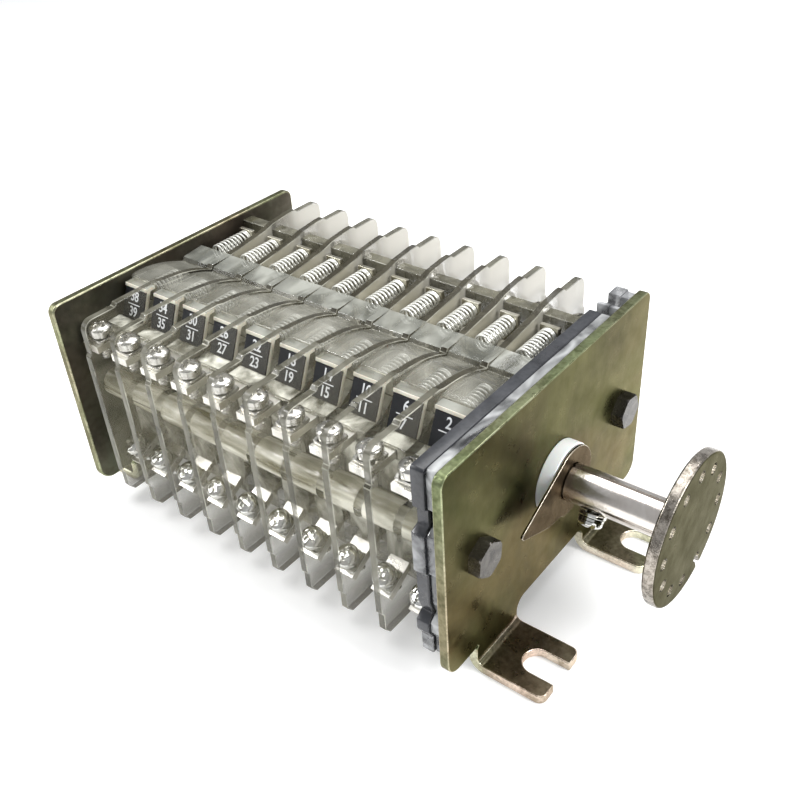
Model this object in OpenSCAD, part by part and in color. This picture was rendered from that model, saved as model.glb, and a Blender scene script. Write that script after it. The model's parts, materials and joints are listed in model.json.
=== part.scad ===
// Rotary auxiliary switch: ten clear contact sections stacked on one square shaft
// between two bent steel end plates, with a crank disc on the front end of the shaft.
// +X runs along the shaft towards the crank disc, -Y is the near terminal side and
// z = 0 is the underside of the feet. The stack is centred on x = 0.

/* [Sections] */
// Distance from one section to the next along the shaft
section_pitch = 14; // [12:0.5:18]
// Thickness of the clear barrier fins
fin_t = 2.5; // [1.5:0.1:3.5]
// Half of the fins' depth, from the shaft axis to the near edge
fin_reach = 54.3; // [52:0.1:66]
// Height of the fins' top edge above the shaft axis
fin_top = 35; // [34:0.5:42]
// Depth of the fins' bottom edge below the shaft axis
fin_drop = 32.5; // [32.5:0.5:36]
// Thickness of the section walls
wall_t = 1.6; // [1.2:0.1:2.2]
// Outer diameter of the tubular bosses round the tie bolts
boss_d = 10; // [9:0.5:12]

/* [End plates] */
// Thickness of the bent steel end plates
plate_t = 3; // [2:0.1:4]
// Width of the end plates
plate_w = 108; // [100:1:130]
// Height of the end plates' top edge above the feet
plate_top = 80; // [78:1:100]
// Height of the shaft axis above the feet
shaft_h = 45; // [44:0.5:56]
// Width of each foot
foot_w = 21; // [16:0.5:25]
// Distance from the middle of the plate to the middle of each foot
foot_y = 30; // [27:0.5:34]
// How far the feet reach out from the plate's outer face
foot_reach = 21.4; // [19:0.2:28]
// Width of the open slot in each foot
foot_slot_w = 8.8; // [6:0.2:10]

/* [Shaft and crank] */
// Width across the flats of the square shaft
shaft_af = 12; // [10:0.5:13]
// Diameter of the shaft's round journals
journal_d = 10; // [8.5:0.1:10.5]
// Diameter of the bushing flange on the front plate
bushing_flange_d = 22.6; // [20:0.2:26]
// How far the front bushing stands out of the plate
bushing_proud = 4.3; // [2:0.1:6]
// Outer diameter of the crank tube
tube_d = 11.6; // [10.5:0.1:14]
// Diameter of the shaft's stub inside the crank tube
stub_d = 8; // [6:0.1:8.4]
// Diameter of the crank disc
disc_d = 45; // [42:0.5:60]
// Thickness of the crank disc
disc_t = 3.5; // [2.5:0.1:5]
// Distance from the front plate's outer face to the disc's front face
disc_reach = 41.3; // [36:0.5:55]
// Diameter of the circle through the holes of the crank disc
disc_pcd = 34.6; // [30:0.2:36]
// Diameter of the holes in the crank disc
disc_hole_d = 3.6; // [2.5:0.1:4.5]

/* [Contacts] */
// Diameter of the contact rotors
rotor_d = 36; // [30:0.5:36]
// Width of the contact rotors
rotor_w = 8.5; // [7.5:0.1:9]
// Width of the terminal strips and contact levers
strip_w = 7; // [5:0.1:7.4]
// Thickness of the terminal strips
strip_t = 2.5; // [1.5:0.1:2.8]
// Thickness of the contact levers
lever_t = 1.5; // [1:0.1:1.8]
// Outer diameter of the contact springs
spring_d = 5.6; // [4:0.1:6]
// Diameter of the terminal screw heads
screw_head_d = 7.6; // [6.5:0.1:8.4]
// Angle by which the lower terminals slope down outwards
low_tilt = 30; // [20:1:35]

/* [Fasteners] */
// Thread diameter of the tie bolts
tie_d = 6; // [5:0.5:6]
// Distance from the shaft axis to each tie bolt
tie_y = 39; // [38.5:0.5:42]
// Thread diameter of the terminal screws
screw_d = 4; // [3:0.5:4]

/* [Hidden] */
$fn = 64;
SECTIONS = 10;
SIDES = [-1, 1];

// Clearances
fit_gap = 0.1;      // pieces that are pushed together
run_gap = 0.05;     // radial clearance of the journals
bolt_gap = 0.3;     // radial clearance round fasteners
body_gap = 0.4;     // between moving and fixed pieces

// Stack along the shaft
chamber_w = section_pitch - fin_t;
rear_room = 1;
end_housing_t = 4;
front_cover_t = 3.5;
stack_l = rear_room + SECTIONS * chamber_w + (SECTIONS - 1) * fin_t + end_housing_t + front_cover_t;
stack_rear_x = -stack_l / 2;
stack_front_x = stack_l / 2;
plate_front_x = stack_front_x + plate_t;
plate_rear_x = stack_rear_x - plate_t;
rotor_x = 0.35;                  // from the fin behind a rotor
strip_x = rotor_x + rotor_w / 2; // middle of a section's contacts, from the fin behind it
last_x = section_x(SECTIONS) + chamber_w;

// Section form, as y and height above the shaft axis
lip = 0.8;
fin_corner_r = 3.5;
dome_r = 45;
dome_y = -22;
bar_top = fin_top - 4;
bar_y = 7.5;
top_step = 1;
step_y = 41.5;
rotor_room_r = rotor_d / 2 + 2.5;
side_y = 34.5;
spring_seat_y = 9;
hub_d = 22;
hub_hole_d = hub_d + 1.2;
skin_t = 1;                      // walls over and under the springs
roof_drop = 0.8;                 // of the walls' tops below the fins' tops
floor_z = -fin_drop + 0.5;
shelf_z = 18;                    // underside of the upper terminal strips
near_wall_y = 23.3;              // outer face of the near wall, behind the labels
far_wall_y = 28;                 // inner edge of the far wall's top rib
rib_t = 4.5;
wall_foot_z = 26;                // foot of both upper walls
near_spring_z = bar_top - spring_d / 2 - 0.6;
far_spring_z = bar_top - spring_d / 2 + 0.4;
low_spring_z = floor_z + skin_t + spring_d / 2 + 0.4;

// End housing's far side: the top ends at a notch, with a tooth and a horn beyond it
end_top_y = 35;
end_notch_z = shelf_z + strip_t + 1.1;
tooth_y = 39.3;
tooth_w = 1.7;
tooth_h = 3;
horn_y = 46.4;

// Contacts
near_lever_y = 21.2;
far_lever_y = 24.5;
low_lever_y = 22;
button_r = 1.6;
tip_r = rotor_d / 2 + body_gap + button_r;
tip_angle = 45;
heel = tip_r * cos(tip_angle) - 2.1;   // inner corner of the room round a lever's button
strip_end_y = 47.8;
screw_y = 42.8;
low_bend_y = 30.4;
low_bend_z = -21.8;
low_screw_run = 10.8;            // from the bend to the screw, along the slope
low_strip_run = 15.6;            // from the bend to the strip's end
washer_t = 1.2;
spring_washer_t = 1.3;
head_h = 2.8;
screw_tail = 4.5;

// Shaft and rotors
shaft_square_front = last_x + end_housing_t + 0.6;
shaft_square_rear = stack_rear_x + 1;
hub_gap = 0.1;                   // between the hubs of neighbouring rotors
bridge_t = 1.5;
bridge_w = 6;
bridge_half_angle = 56;
bridge_gap = 0.05;

// Labels, as y and height above the shaft axis
label_top = [-27.3, 31.2];
label_foot = [-31.3, 21.9];
label_face_t = 0.5;
label_w = chamber_w - 1;
label_lip_z = 32.4;
label_holder_t = 1.2;

// Crank
washer_gap_x = 0.3;
pointer_t = 0.8;
pointer_x = plate_front_x + bushing_proud + washer_gap_x;
pointer_tip = 26.4;
tube_x = pointer_x + pointer_t + washer_gap_x;
disc_x = plate_front_x + disc_reach - disc_t;
disc_hole_turn = -5;
disc_holes = 12;
disc_open_hole = 10;             // this hole's wall is cut open to the rim
crank_screw_x = tube_x + 8.6;
crank_screw_d = 4;
crank_screw_turn = 35;           // from straight down towards the near side
crank_washer_t = 1.1;
crank_washer_step = 1.2;
crank_head_z = -tube_d / 2 - 2 * crank_washer_step;
stub_end = disc_x - 4;

// Plates
plate_bottom = 10;
plate_corner_r = 3;
bend_r = 2;
slot_inner = 9.2;                // from the plate's outer face to the slot's inner end
prong_r = 2.5;
relief_r = 4;
tie_head_af = 10;
tie_head_h = 3.8;
tie_nut_h = 5;
tie_washer_t = 1.5;
tie_nut_x = plate_rear_x - tie_washer_t - tie_nut_h;
tie_washer_d = 11;
bushing_body_d = 18;
rear_flange_t = 2.5;

function section_x(k) = stack_rear_x + rear_room + (k - 1) * section_pitch;
function flip_y(points) = [for (i = [len(points) - 1 : -1 : 0]) [-points[i][0], points[i][1]]];
function corner_points(y, z, r) = [for (a = [0 : 15 : 90]) [y + r - r * cos(a), z - r + r * sin(a)]];
function dome_z(y) = fin_top - 0.7 - dome_r + sqrt(dome_r * dome_r - (y - dome_y) * (y - dome_y));
function dome_points(drop) = [for (y = [-18 : 4 : -2]) [y, dome_z(y) - drop]];

// Extrudes a drawing of y and height above the shaft axis along the shaft
module along_shaft(x, length) {
    translate([x, 0, shaft_h]) rotate([90, 0, 90]) linear_extrude(length) children();
}

// A bar of constant thickness that follows a line of points
module bent_bar(points, t) {
    for (i = [0 : len(points) - 2]) {
        a = points[i];
        b = points[i + 1];
        run = b - a;
        translate(a) rotate(atan2(run[1], run[0])) translate([0, -t / 2]) square([norm(run), t]);
    }
    for (i = [1 : 1 : len(points) - 2]) translate(points[i]) circle(d = t, $fn = 24);
}

// Fins and section housings

function edge_points(r) = concat(
    [[-r + 2.8, -fin_drop], [-r + lip, -fin_drop + 2.5], [-r + lip, -fin_drop + 8.5],
        [-r, -fin_drop + 9.5], [-r, fin_top - 13], [-r + lip, fin_top - 12]],
    corner_points(-r + lip, fin_top - top_step, fin_corner_r),
    [[-step_y, fin_top - top_step], [-step_y + 1, fin_top]]
);

function fin_points() = concat(
    edge_points(fin_reach),
    [[-24, fin_top], [-22, fin_top - 0.5]],
    dome_points(0),
    [[-1, bar_top], [bar_y, bar_top], [24.5, fin_top - 2], [29, fin_top - 0.8], [step_y - 4, fin_top]],
    flip_y(edge_points(fin_reach))
);

module fin_form() {
    difference() {
        polygon(fin_points());
        circle(d = hub_hole_d);
        for (s = SIDES) translate([s * tie_y, 0]) circle(d = tie_d + 2 * bolt_gap);
    }
}

function near_wall_points() = [
    [0, floor_z], [-28, floor_z], [-side_y, floor_z + 4], [-side_y, 15.5],
    [-side_y - 2, shelf_z - 0.3], [-side_y - 2, shelf_z + strip_t + 1.1], [-31.6, shelf_z + strip_t + 1.3],
    [-30.4, shelf_z + strip_t + 0.8], [-near_wall_y, wall_foot_z], [-near_wall_y, fin_top - 2.2],
    [dome_y, fin_top - 2 * roof_drop]
];

function far_wall_points() = [
    [bar_y, bar_top], [bar_y, wall_foot_z], [far_wall_y, wall_foot_z], [far_wall_y, fin_top - 2.6],
    [far_wall_y + rib_t, fin_top - 2.6], [far_wall_y + rib_t, wall_foot_z - 2.5],
    [side_y + 2, shelf_z + strip_t + 1.1], [side_y + 2, shelf_z - 0.3],
    [side_y, 15.5], [side_y, floor_z + 4], [28, floor_z]
];

module wall_form() {
    polygon(concat(
        near_wall_points(), dome_points(roof_drop), [[-1, bar_top - roof_drop]], far_wall_points()));
}

// The hollow that the rotor, the levers and the springs work in
module hollow_form() {
    seat_y = spring_seat_y;
    near_y = near_wall_y - skin_t;
    far_y = far_wall_y - skin_t + 0.6;
    roof = fin_top - 2 * roof_drop - skin_t;
    low_roof = floor_z + skin_t;
    low_room_y = 25;
    circle(r = rotor_room_r);
    polygon([[-near_y, 12], [-near_y, roof - 0.6], [-20, roof - 0.9], [-14, roof - 1.6],
        [-seat_y, dome_z(-seat_y) - roof_drop - skin_t], [-seat_y, 24], [-heel, heel]]);
    polygon([[seat_y, 24], [seat_y, fin_top + 1], [far_y, fin_top + 1], [far_y, 14], [heel, heel]]);
    for (s = SIDES) polygon([[s * seat_y, -24], [s * seat_y, low_roof], [s * low_room_y, low_roof],
        [s * low_room_y, -19], [s * 20, -10], [s * heel, -heel]]);
    side_pockets();
}

// Pockets between the ring wall round the rotor and the side walls
module side_pockets() {
    outer = side_y - wall_t;
    inner = rotor_room_r + wall_t + 2;
    top = shelf_z - 3.2;
    difference() {
        for (s = SIDES) polygon([[s * outer, -16.5], [s * outer, top], [s * inner, top], [s * inner, 9],
            [s * 15, 0], [s * inner, -9], [s * inner, -16.5]]);
        circle(r = rotor_room_r + wall_t);
    }
}

// Slots that the terminal strips are pushed into
module strip_slot_cutters(x) {
    slot_w = strip_w + 2 * fit_gap;
    slot_h = strip_t + 2 * fit_gap;
    for (s = SIDES) {
        translate([x + strip_x, s * 32, shaft_h + shelf_z + strip_t / 2])
            cube([slot_w, 24, slot_h], center = true);
        translate([x + strip_x, s * (low_bend_y - 4), shaft_h + low_bend_z])
            cube([slot_w, 12, slot_h], center = true);
        translate([x + strip_x, s * low_bend_y, shaft_h + low_bend_z])
            rotate([s * -low_tilt, 0, 0]) translate([0, s * 4, 0]) cube([slot_w, 10, slot_h], center = true);
    }
}

module section_walls(x, length) {
    along_shaft(x, length) {
        difference() {
            wall_form();
            hollow_form();
        }
        for (s = SIDES) translate([s * tie_y, 0]) difference() {
            circle(d = boss_d);
            circle(d = tie_d + 2 * bolt_gap);
        }
    }
}

module section_housing(k) {
    x = section_x(k);
    back = k == 1 ? rear_room : 0;
    color([0.86, 0.87, 0.80, 0.45]) difference() {
        union() {
            section_walls(x - back, chamber_w + back);
            if (k < SECTIONS) along_shaft(x + chamber_w, fin_t) fin_form();
        }
        strip_slot_cutters(x);
    }
}

module section_housing_01() { section_housing(1); }
module section_housing_02() { section_housing(2); }
module section_housing_03() { section_housing(3); }
module section_housing_04() { section_housing(4); }
module section_housing_05() { section_housing(5); }
module section_housing_06() { section_housing(6); }
module section_housing_07() { section_housing(7); }
module section_housing_08() { section_housing(8); }
module section_housing_09() { section_housing(9); }
module section_housing_10() { section_housing(10); }

// Front end housing and its clear cover

// Stepped edge of the end housing, from its foot up to its top
function end_side_points(r, top) = [
    [-r + 2.3, -fin_drop + 1.9], [-r + 2.3, -24], [-r + 0.5, -21], [-r + 0.5, -17.5],
    [-r + 3.1, -15.5], [-r + 1.7, -10.5], [-r + 1.7, -0.5], [-r + 0.7, 0.5], [-r + 0.7, 13.6],
    [-r + 3.5, 15], [-r + 3.5, 20.5], [-r + 1.7, 21.5], [-r + 1.7, top - 0.8], [-r + 2.5, top]
];

module end_form(r, top) {
    difference() {
        polygon(concat(
            end_side_points(r, top),
            [[end_top_y, top], [end_top_y, end_notch_z], [tooth_y, end_notch_z], [tooth_y, top],
                [tooth_y + tooth_w, top], [tooth_y + tooth_w, top - tooth_h],
                [horn_y, top - tooth_h], [horn_y, top]],
            flip_y(end_side_points(r, top))));
        for (s = SIDES) translate([s * tie_y, 0]) circle(d = tie_d + 2 * bolt_gap);
    }
}

module front_end_housing() {
    color([0.25, 0.27, 0.30]) along_shaft(last_x, end_housing_t) difference() {
        end_form(fin_reach, fin_top - 0.7);
        circle(d = hub_hole_d);
    }
}

module front_cover() {
    color([0.6, 0.63, 0.62, 0.6]) along_shaft(last_x + end_housing_t, front_cover_t) difference() {
        end_form(fin_reach - 1, fin_top - 0.9);
        circle(d = bushing_body_d + 2 * fit_gap);
    }
}

// End plates

// Outline of the flat of a plate, from the middle to the near edge, above the feet
module plate_flat() {
    half = plate_w / 2;
    leg_in = foot_y - foot_w / 2;
    leg_out = foot_y + foot_w / 2;
    leg_foot = bend_r + plate_t;
    difference() {
        union() {
            translate([-half, plate_bottom + 5])
                square([plate_w, plate_top - plate_bottom - 5 - plate_corner_r]);
            translate([-half + plate_corner_r, plate_top - plate_corner_r])
                square([plate_w - 2 * plate_corner_r, plate_corner_r]);
            translate([-half + 5, plate_bottom]) square([plate_w - 10, 5]);
            for (s = SIDES) {
                translate([s * (half - plate_corner_r), plate_top - plate_corner_r])
                    circle(r = plate_corner_r);
                translate([s * (half - 5), plate_bottom + 5]) circle(r = 5);
                translate([s * foot_y - foot_w / 2, leg_foot]) square([foot_w, plate_bottom + 1 - leg_foot]);
                translate([s * (leg_in - relief_r / 2) - relief_r / 2, plate_bottom - relief_r])
                    square([relief_r, relief_r + 1]);
            }
        }
        for (s = SIDES) {
            translate([s * (leg_in - relief_r), plate_bottom - relief_r]) circle(r = relief_r);
            translate([s * leg_out, plate_bottom]) rotate(45) square(1.4, center = true);
            translate([s * tie_y, shaft_h]) circle(d = tie_d + 2 * bolt_gap);
        }
        translate([0, shaft_h]) circle(d = bushing_body_d + 2 * fit_gap);
    }
}

// One foot: the bend under the leg and the flat tongue with its open slot
module plate_foot() {
    bend = bend_r + plate_t;
    slot_r = foot_slot_w / 2;
    translate([bend - plate_t, 0, bend]) rotate([90, 0, 0]) linear_extrude(foot_w, center = true)
        intersection() {
            difference() {
                circle(r = bend);
                circle(r = bend_r);
            }
            translate([-bend, -bend]) square(bend);
        }
    linear_extrude(plate_t) difference() {
        union() {
            translate([bend_r, -foot_w / 2]) square([foot_reach - bend_r - prong_r, foot_w]);
            translate([foot_reach - prong_r, -foot_w / 2 + prong_r]) square([prong_r, foot_w - 2 * prong_r]);
            for (s = SIDES) translate([foot_reach - prong_r, s * (foot_w / 2 - prong_r)]) circle(r = prong_r);
        }
        translate([slot_inner + slot_r, 0]) circle(r = slot_r);
        translate([slot_inner + slot_r, -slot_r]) square([foot_reach, foot_slot_w]);
    }
}

module end_plate() {
    rotate([90, 0, 90]) translate([0, 0, -plate_t]) linear_extrude(plate_t) plate_flat();
    for (s = SIDES) translate([0, s * foot_y, 0]) plate_foot();
}

module front_end_plate() {
    color([0.50, 0.49, 0.33]) translate([plate_front_x, 0, 0]) end_plate();
}

module rear_end_plate() {
    color([0.50, 0.49, 0.33]) translate([plate_rear_x, 0, 0]) mirror([1, 0, 0]) end_plate();
}

// Shaft, bushings and rotors

module on_axis(x) {
    translate([x, 0, shaft_h]) rotate([0, 90, 0]) children();
}

module square_shaft() {
    journal_front = pointer_x;
    journal_rear = plate_rear_x - rear_flange_t;
    color([0.72, 0.71, 0.68]) {
        translate([shaft_square_rear, -shaft_af / 2, shaft_h - shaft_af / 2])
            cube([shaft_square_front - shaft_square_rear, shaft_af, shaft_af]);
        on_axis(journal_rear) cylinder(d = journal_d, h = shaft_square_rear - journal_rear);
        on_axis(shaft_square_front) cylinder(d = journal_d, h = journal_front - shaft_square_front);
        on_axis(journal_front) cylinder(d = stub_d, h = stub_end - journal_front);
    }
}

module bushing(flange_t, body_l) {
    difference() {
        union() {
            cylinder(d = bushing_flange_d, h = flange_t);
            translate([0, 0, -body_l]) cylinder(d = bushing_body_d, h = body_l + 1);
        }
        translate([0, 0, -body_l - 1]) cylinder(d = journal_d + 2 * run_gap, h = body_l + flange_t + 2);
    }
}

module front_bushing() {
    body_l = plate_front_x - shaft_square_front - body_gap;
    color([0.93, 0.95, 0.95]) on_axis(plate_front_x) bushing(bushing_proud, body_l);
}

module rear_bushing() {
    body_l = shaft_square_rear - plate_rear_x - body_gap;
    color([0.93, 0.95, 0.95]) mirror([1, 0, 0]) on_axis(-plate_rear_x) bushing(rear_flange_t, body_l);
}

// Turn of a section's bridge contacts: every second section is closed when the others are open
function bridge_turn(k) = k % 2 == 1 ? 0 : 90;

module bridge_form(clearance) {
    r = rotor_d / 2;
    inner = r - bridge_t - clearance;
    spread = bridge_half_angle + (clearance > 0 ? 0.4 : 0);
    reach = 2 * r;
    difference() {
        circle(r = r + (clearance > 0 ? 1 : 0));
        circle(r = inner);
        polygon([[0, 0], [reach * sin(spread), reach * cos(spread)], [reach * 2, 0], [reach * 2, -reach * 2],
            [-reach * 2, -reach * 2], [-reach * 2, 0], [-reach * sin(spread), reach * cos(spread)]]);
    }
}

module contact_rotor(k) {
    x = section_x(k);
    hub_rear = k == 1 ? 0 : -fin_t + hub_gap;
    hub_front = chamber_w - hub_gap;
    color([0.90, 0.88, 0.80]) difference() {
        union() {
            on_axis(x + rotor_x) cylinder(d = rotor_d, h = rotor_w);
            on_axis(x + hub_rear) cylinder(d = hub_d, h = hub_front - hub_rear);
        }
        translate([x - section_pitch, -shaft_af / 2 - fit_gap, shaft_h - shaft_af / 2 - fit_gap])
            cube([3 * section_pitch, shaft_af + 2 * fit_gap, shaft_af + 2 * fit_gap]);
        for (a = [0, 180]) along_shaft(x + strip_x - bridge_w / 2 - fit_gap, bridge_w + 2 * fit_gap)
            rotate(a + bridge_turn(k)) bridge_form(bridge_gap);
    }
}

module contact_rotor_01() { contact_rotor(1); }
module contact_rotor_02() { contact_rotor(2); }
module contact_rotor_03() { contact_rotor(3); }
module contact_rotor_04() { contact_rotor(4); }
module contact_rotor_05() { contact_rotor(5); }
module contact_rotor_06() { contact_rotor(6); }
module contact_rotor_07() { contact_rotor(7); }
module contact_rotor_08() { contact_rotor(8); }
module contact_rotor_09() { contact_rotor(9); }
module contact_rotor_10() { contact_rotor(10); }

module bridge_contacts() {
    color([0.80, 0.72, 0.52]) for (k = [1 : SECTIONS], a = [0, 180])
        along_shaft(section_x(k) + strip_x - bridge_w / 2, bridge_w)
            rotate(a + bridge_turn(k)) bridge_form(0);
}

// Crank

module position_pointer() {
    r = bushing_flange_d / 2 - 0.3;
    color([0.62, 0.60, 0.50]) along_shaft(pointer_x, pointer_t) difference() {
        union() {
            circle(r = r);
            polygon([[-6, 9.2], [-pointer_tip + 0.6, -0.9], [-pointer_tip, -1.9], [-pointer_tip + 0.6, -2.9],
                [-12, -8.6], [-6, -9.2]]);
        }
        circle(d = stub_d + 2 * fit_gap);
    }
}

module crank_tube() {
    seam_w = 1.1;
    seam_t = 0.6;
    color([0.80, 0.77, 0.72]) difference() {
        on_axis(tube_x) cylinder(d = tube_d, h = disc_x - tube_x);
        on_axis(tube_x - 1) cylinder(d = stub_d + 2 * fit_gap, h = disc_x - tube_x + 2);
        translate([tube_x - 1, -seam_w / 2, shaft_h + tube_d / 2 - seam_t])
            cube([disc_x - tube_x + 2, seam_w, seam_t + 1]);
        crank_screw_place() translate([0, 0, -tube_d]) cylinder(d = crank_screw_d + 2 * fit_gap, h = tube_d);
    }
}

module crank_disc() {
    r = disc_d / 2;
    edge_r = 0.8;
    color([0.52, 0.51, 0.45]) difference() {
        on_axis(disc_x) rotate_extrude() {
            square([r - edge_r, disc_t]);
            translate([0, edge_r]) square([r, disc_t - 2 * edge_r]);
            for (z = [edge_r, disc_t - edge_r]) translate([r - edge_r, z]) circle(r = edge_r, $fn = 24);
        }
        for (i = [0 : disc_holes - 1]) {
            a = disc_hole_turn + i * 360 / disc_holes;
            translate([disc_x - 1, disc_pcd / 2 * cos(a), shaft_h + disc_pcd / 2 * sin(a)])
                rotate([0, 90, 0]) cylinder(d = disc_hole_d, h = disc_t + 2);
            if (i == disc_open_hole) along_shaft(disc_x - 1, disc_t + 2) rotate(a)
                translate([disc_pcd / 2, -disc_hole_d / 2 + 0.8]) square([disc_d, disc_hole_d - 1.6]);
        }
    }
}

module crank_screw_place() {
    translate([crank_screw_x, 0, shaft_h]) rotate([-crank_screw_turn, 0, 0]) children();
}

module crank_screw() {
    head_d = 7.2;
    crank_head_h = 2.2;
    color([0.70, 0.69, 0.66]) crank_screw_place() {
        difference() {
            translate([0, 0, crank_head_z - crank_head_h]) cylinder(d = head_d, h = crank_head_h);
            translate([-head_d, -0.6, crank_head_z - crank_head_h - 1])
                cube([2 * head_d, 1.2, 1 + crank_head_h / 2]);
        }
        translate([0, 0, crank_head_z]) cylinder(d = crank_screw_d, h = -crank_head_z - stub_d / 2);
    }
}

module crank_screw_washers() {
    washer_d = [7.4, 8];
    color([0.66, 0.65, 0.62]) crank_screw_place() for (i = [0, 1])
        translate([0, 0, crank_head_z + i * crank_washer_step]) difference() {
            cylinder(d = washer_d[i], h = crank_washer_t);
            translate([0, 0, -1]) cylinder(d = crank_screw_d + 2 * fit_gap, h = 4);
        }
}

// Tie bolts

module hexagon(af, h) {
    cylinder(d = af / cos(30), h = h, $fn = 6);
}

module tie_bolts() {
    color([0.22, 0.22, 0.23]) for (s = SIDES) translate([0, s * tie_y, 0]) {
        on_axis(tie_nut_x - 2) cylinder(d = tie_d, h = plate_front_x - tie_nut_x + 2);
        on_axis(plate_front_x) hexagon(tie_head_af, tie_head_h);
    }
}

module tie_washers() {
    color([0.45, 0.45, 0.44]) for (s = SIDES)
        translate([0, s * tie_y, 0]) on_axis(plate_rear_x - tie_washer_t) difference() {
            cylinder(d = tie_washer_d, h = tie_washer_t);
            translate([0, 0, -1]) cylinder(d = tie_d + 2 * fit_gap, h = tie_washer_t + 2);
        }
}

module tie_nuts() {
    color([0.30, 0.30, 0.30]) for (s = SIDES) translate([0, s * tie_y, 0]) on_axis(tie_nut_x) difference() {
        hexagon(tie_head_af, tie_nut_h);
        translate([0, 0, -1]) cylinder(d = tie_d + 2 * run_gap, h = tie_nut_h + 2);
    }
}

// Labels on the near side

// A folded strip: the lip lies against the near wall and the slope carries the label
module label_holders() {
    slope = label_foot - label_top;
    up = -slope / norm(slope);
    n = [slope[1], -slope[0]] / norm(slope);
    outer = label_top - n * label_face_t;
    foot = label_foot - n * label_face_t;
    inner = outer - n * label_holder_t;
    back_y = near_wall_y + fit_gap;
    lip_under = label_lip_z - label_holder_t;
    color([0.93, 0.92, 0.86]) for (k = [1 : SECTIONS])
        along_shaft(section_x(k) + (chamber_w - label_w) / 2, label_w) polygon([
            [-back_y, label_lip_z], [label_top[0] + 0.3, label_lip_z], label_top + [0, 0.2], outer, foot,
            [foot[0] + 0.24, foot[1]], foot - n * label_holder_t + up * 1.3,
            inner + up * (lip_under - inner[1]) / up[1], [-back_y, lip_under]
        ]);
}

module label_faces() {
    slope = label_foot - label_top;
    color([0.05, 0.05, 0.06]) for (k = [1 : SECTIONS])
        along_shaft(section_x(k) + (chamber_w - label_w) / 2 + 0.3, label_w - 0.6)
            translate(label_top) rotate(atan2(slope[1], slope[0])) square([norm(slope), label_face_t]);
}

// Terminals, drawn for the near side and mirrored for the far side

module each_section() {
    for (k = [1 : SECTIONS]) translate([section_x(k) + strip_x, 0, shaft_h]) children();
}

module far_side() {
    mirror([0, 1, 0]) children();
}

// Moves what stands on a lower terminal's screw hole to its sloping place
module low_screw_place() {
    translate([0, -low_bend_y, low_bend_z]) rotate([low_tilt, 0, 0])
        translate([0, -low_screw_run, strip_t / 2]) children();
}

module up_screw_place() {
    translate([0, -screw_y, shelf_z + strip_t]) children();
}

module yz_bar(width) {
    translate([-width / 2, 0, 0]) rotate([90, 0, 90]) linear_extrude(width) children();
}

module upper_terminals(lever_y) {
    inner = lever_y + lever_t / 2;
    color([0.82, 0.80, 0.74]) each_section() difference() {
        translate([-strip_w / 2, -strip_end_y, shelf_z]) cube([strip_w, strip_end_y - inner, strip_t]);
        up_screw_place() translate([0, 0, -strip_t - 1]) cylinder(d = screw_d + 2 * run_gap, h = strip_t + 2);
    }
}

module lower_terminals() {
    inner = low_lever_y + lever_t / 2;
    color([0.82, 0.80, 0.74]) each_section() difference() {
        yz_bar(strip_w) bent_bar([
            [-low_bend_y - low_strip_run * cos(low_tilt), low_bend_z - low_strip_run * sin(low_tilt)],
            [-low_bend_y, low_bend_z], [-inner, low_bend_z]], strip_t);
        low_screw_place() translate([0, 0, -strip_t - 1])
            cylinder(d = screw_d + 2 * run_gap, h = strip_t + 2);
    }
}

module terminal_screw() {
    stack = washer_t + spring_washer_t;
    color([0.78, 0.77, 0.74]) {
        translate([0, 0, -strip_t - screw_tail]) cylinder(d = screw_d, h = strip_t + screw_tail + stack);
        translate([0, 0, stack]) difference() {
            rotate_extrude($fn = 48) intersection() {
                translate([0, head_h - screw_head_d]) circle(r = screw_head_d);
                square([screw_head_d / 2, head_h]);
            }
            for (a = [45, 135]) rotate(a) translate([0, 0, head_h])
                cube([screw_head_d * 0.62, 1.1, 2.4], center = true);
        }
    }
}

module terminal_washers() {
    plate_side = screw_head_d - 0.2;
    color([0.70, 0.70, 0.68]) {
        difference() {
            translate([-plate_side / 2, -plate_side / 2, 0]) cube([plate_side, plate_side, washer_t - 0.02]);
            translate([0, 0, -1]) cylinder(d = screw_d + 2 * fit_gap, h = 4);
        }
        translate([0, 0, washer_t]) difference() {
            cylinder(d = screw_head_d - 0.4, h = spring_washer_t - 0.02);
            translate([0, 0, -1]) cylinder(d = screw_d + 2 * fit_gap, h = 4);
            rotate(30) translate([0, -0.5, -1]) cube([screw_head_d, 1, 4]);
        }
    }
}

// A contact lever stands against the inner end of its strip: the spring pushes its outer end
// away from the shaft and its button rides on the rotor
module lever_form(lever_y, strip_z, spring_end) {
    tip = [-tip_r * cos(tip_angle), tip_r * sin(tip_angle)];
    knee = [-lever_y, strip_z + 2.2];
    bent_bar([[-lever_y, spring_end], knee, tip], lever_t);
    translate(tip) circle(r = button_r, $fn = 32);
}

module upper_levers(lever_y, spring_z) {
    color([0.78, 0.74, 0.62]) each_section() yz_bar(strip_w - 0.6)
        lever_form(lever_y, shelf_z + strip_t / 2, spring_z + spring_d / 2 + 0.2);
}

module lower_levers() {
    color([0.78, 0.74, 0.62]) each_section() yz_bar(strip_w - 0.6) mirror([0, 1])
        lever_form(low_lever_y, -low_bend_z - 0.6, -low_spring_z + spring_d / 2 + 0.2);
}

// Contact springs, closed coils drawn as their sleeve
module contact_springs(lever_y, z) {
    length = lever_y - lever_t / 2 - spring_seat_y;
    wire = 0.7;
    color([0.82, 0.82, 0.80]) each_section()
        translate([0, -spring_seat_y, z]) rotate([90, 0, 0]) difference() {
            cylinder(d = spring_d, h = length, $fn = 32);
            translate([0, 0, -1]) cylinder(d = spring_d - 2 * wire, h = length + 2, $fn = 32);
        }
}

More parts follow.
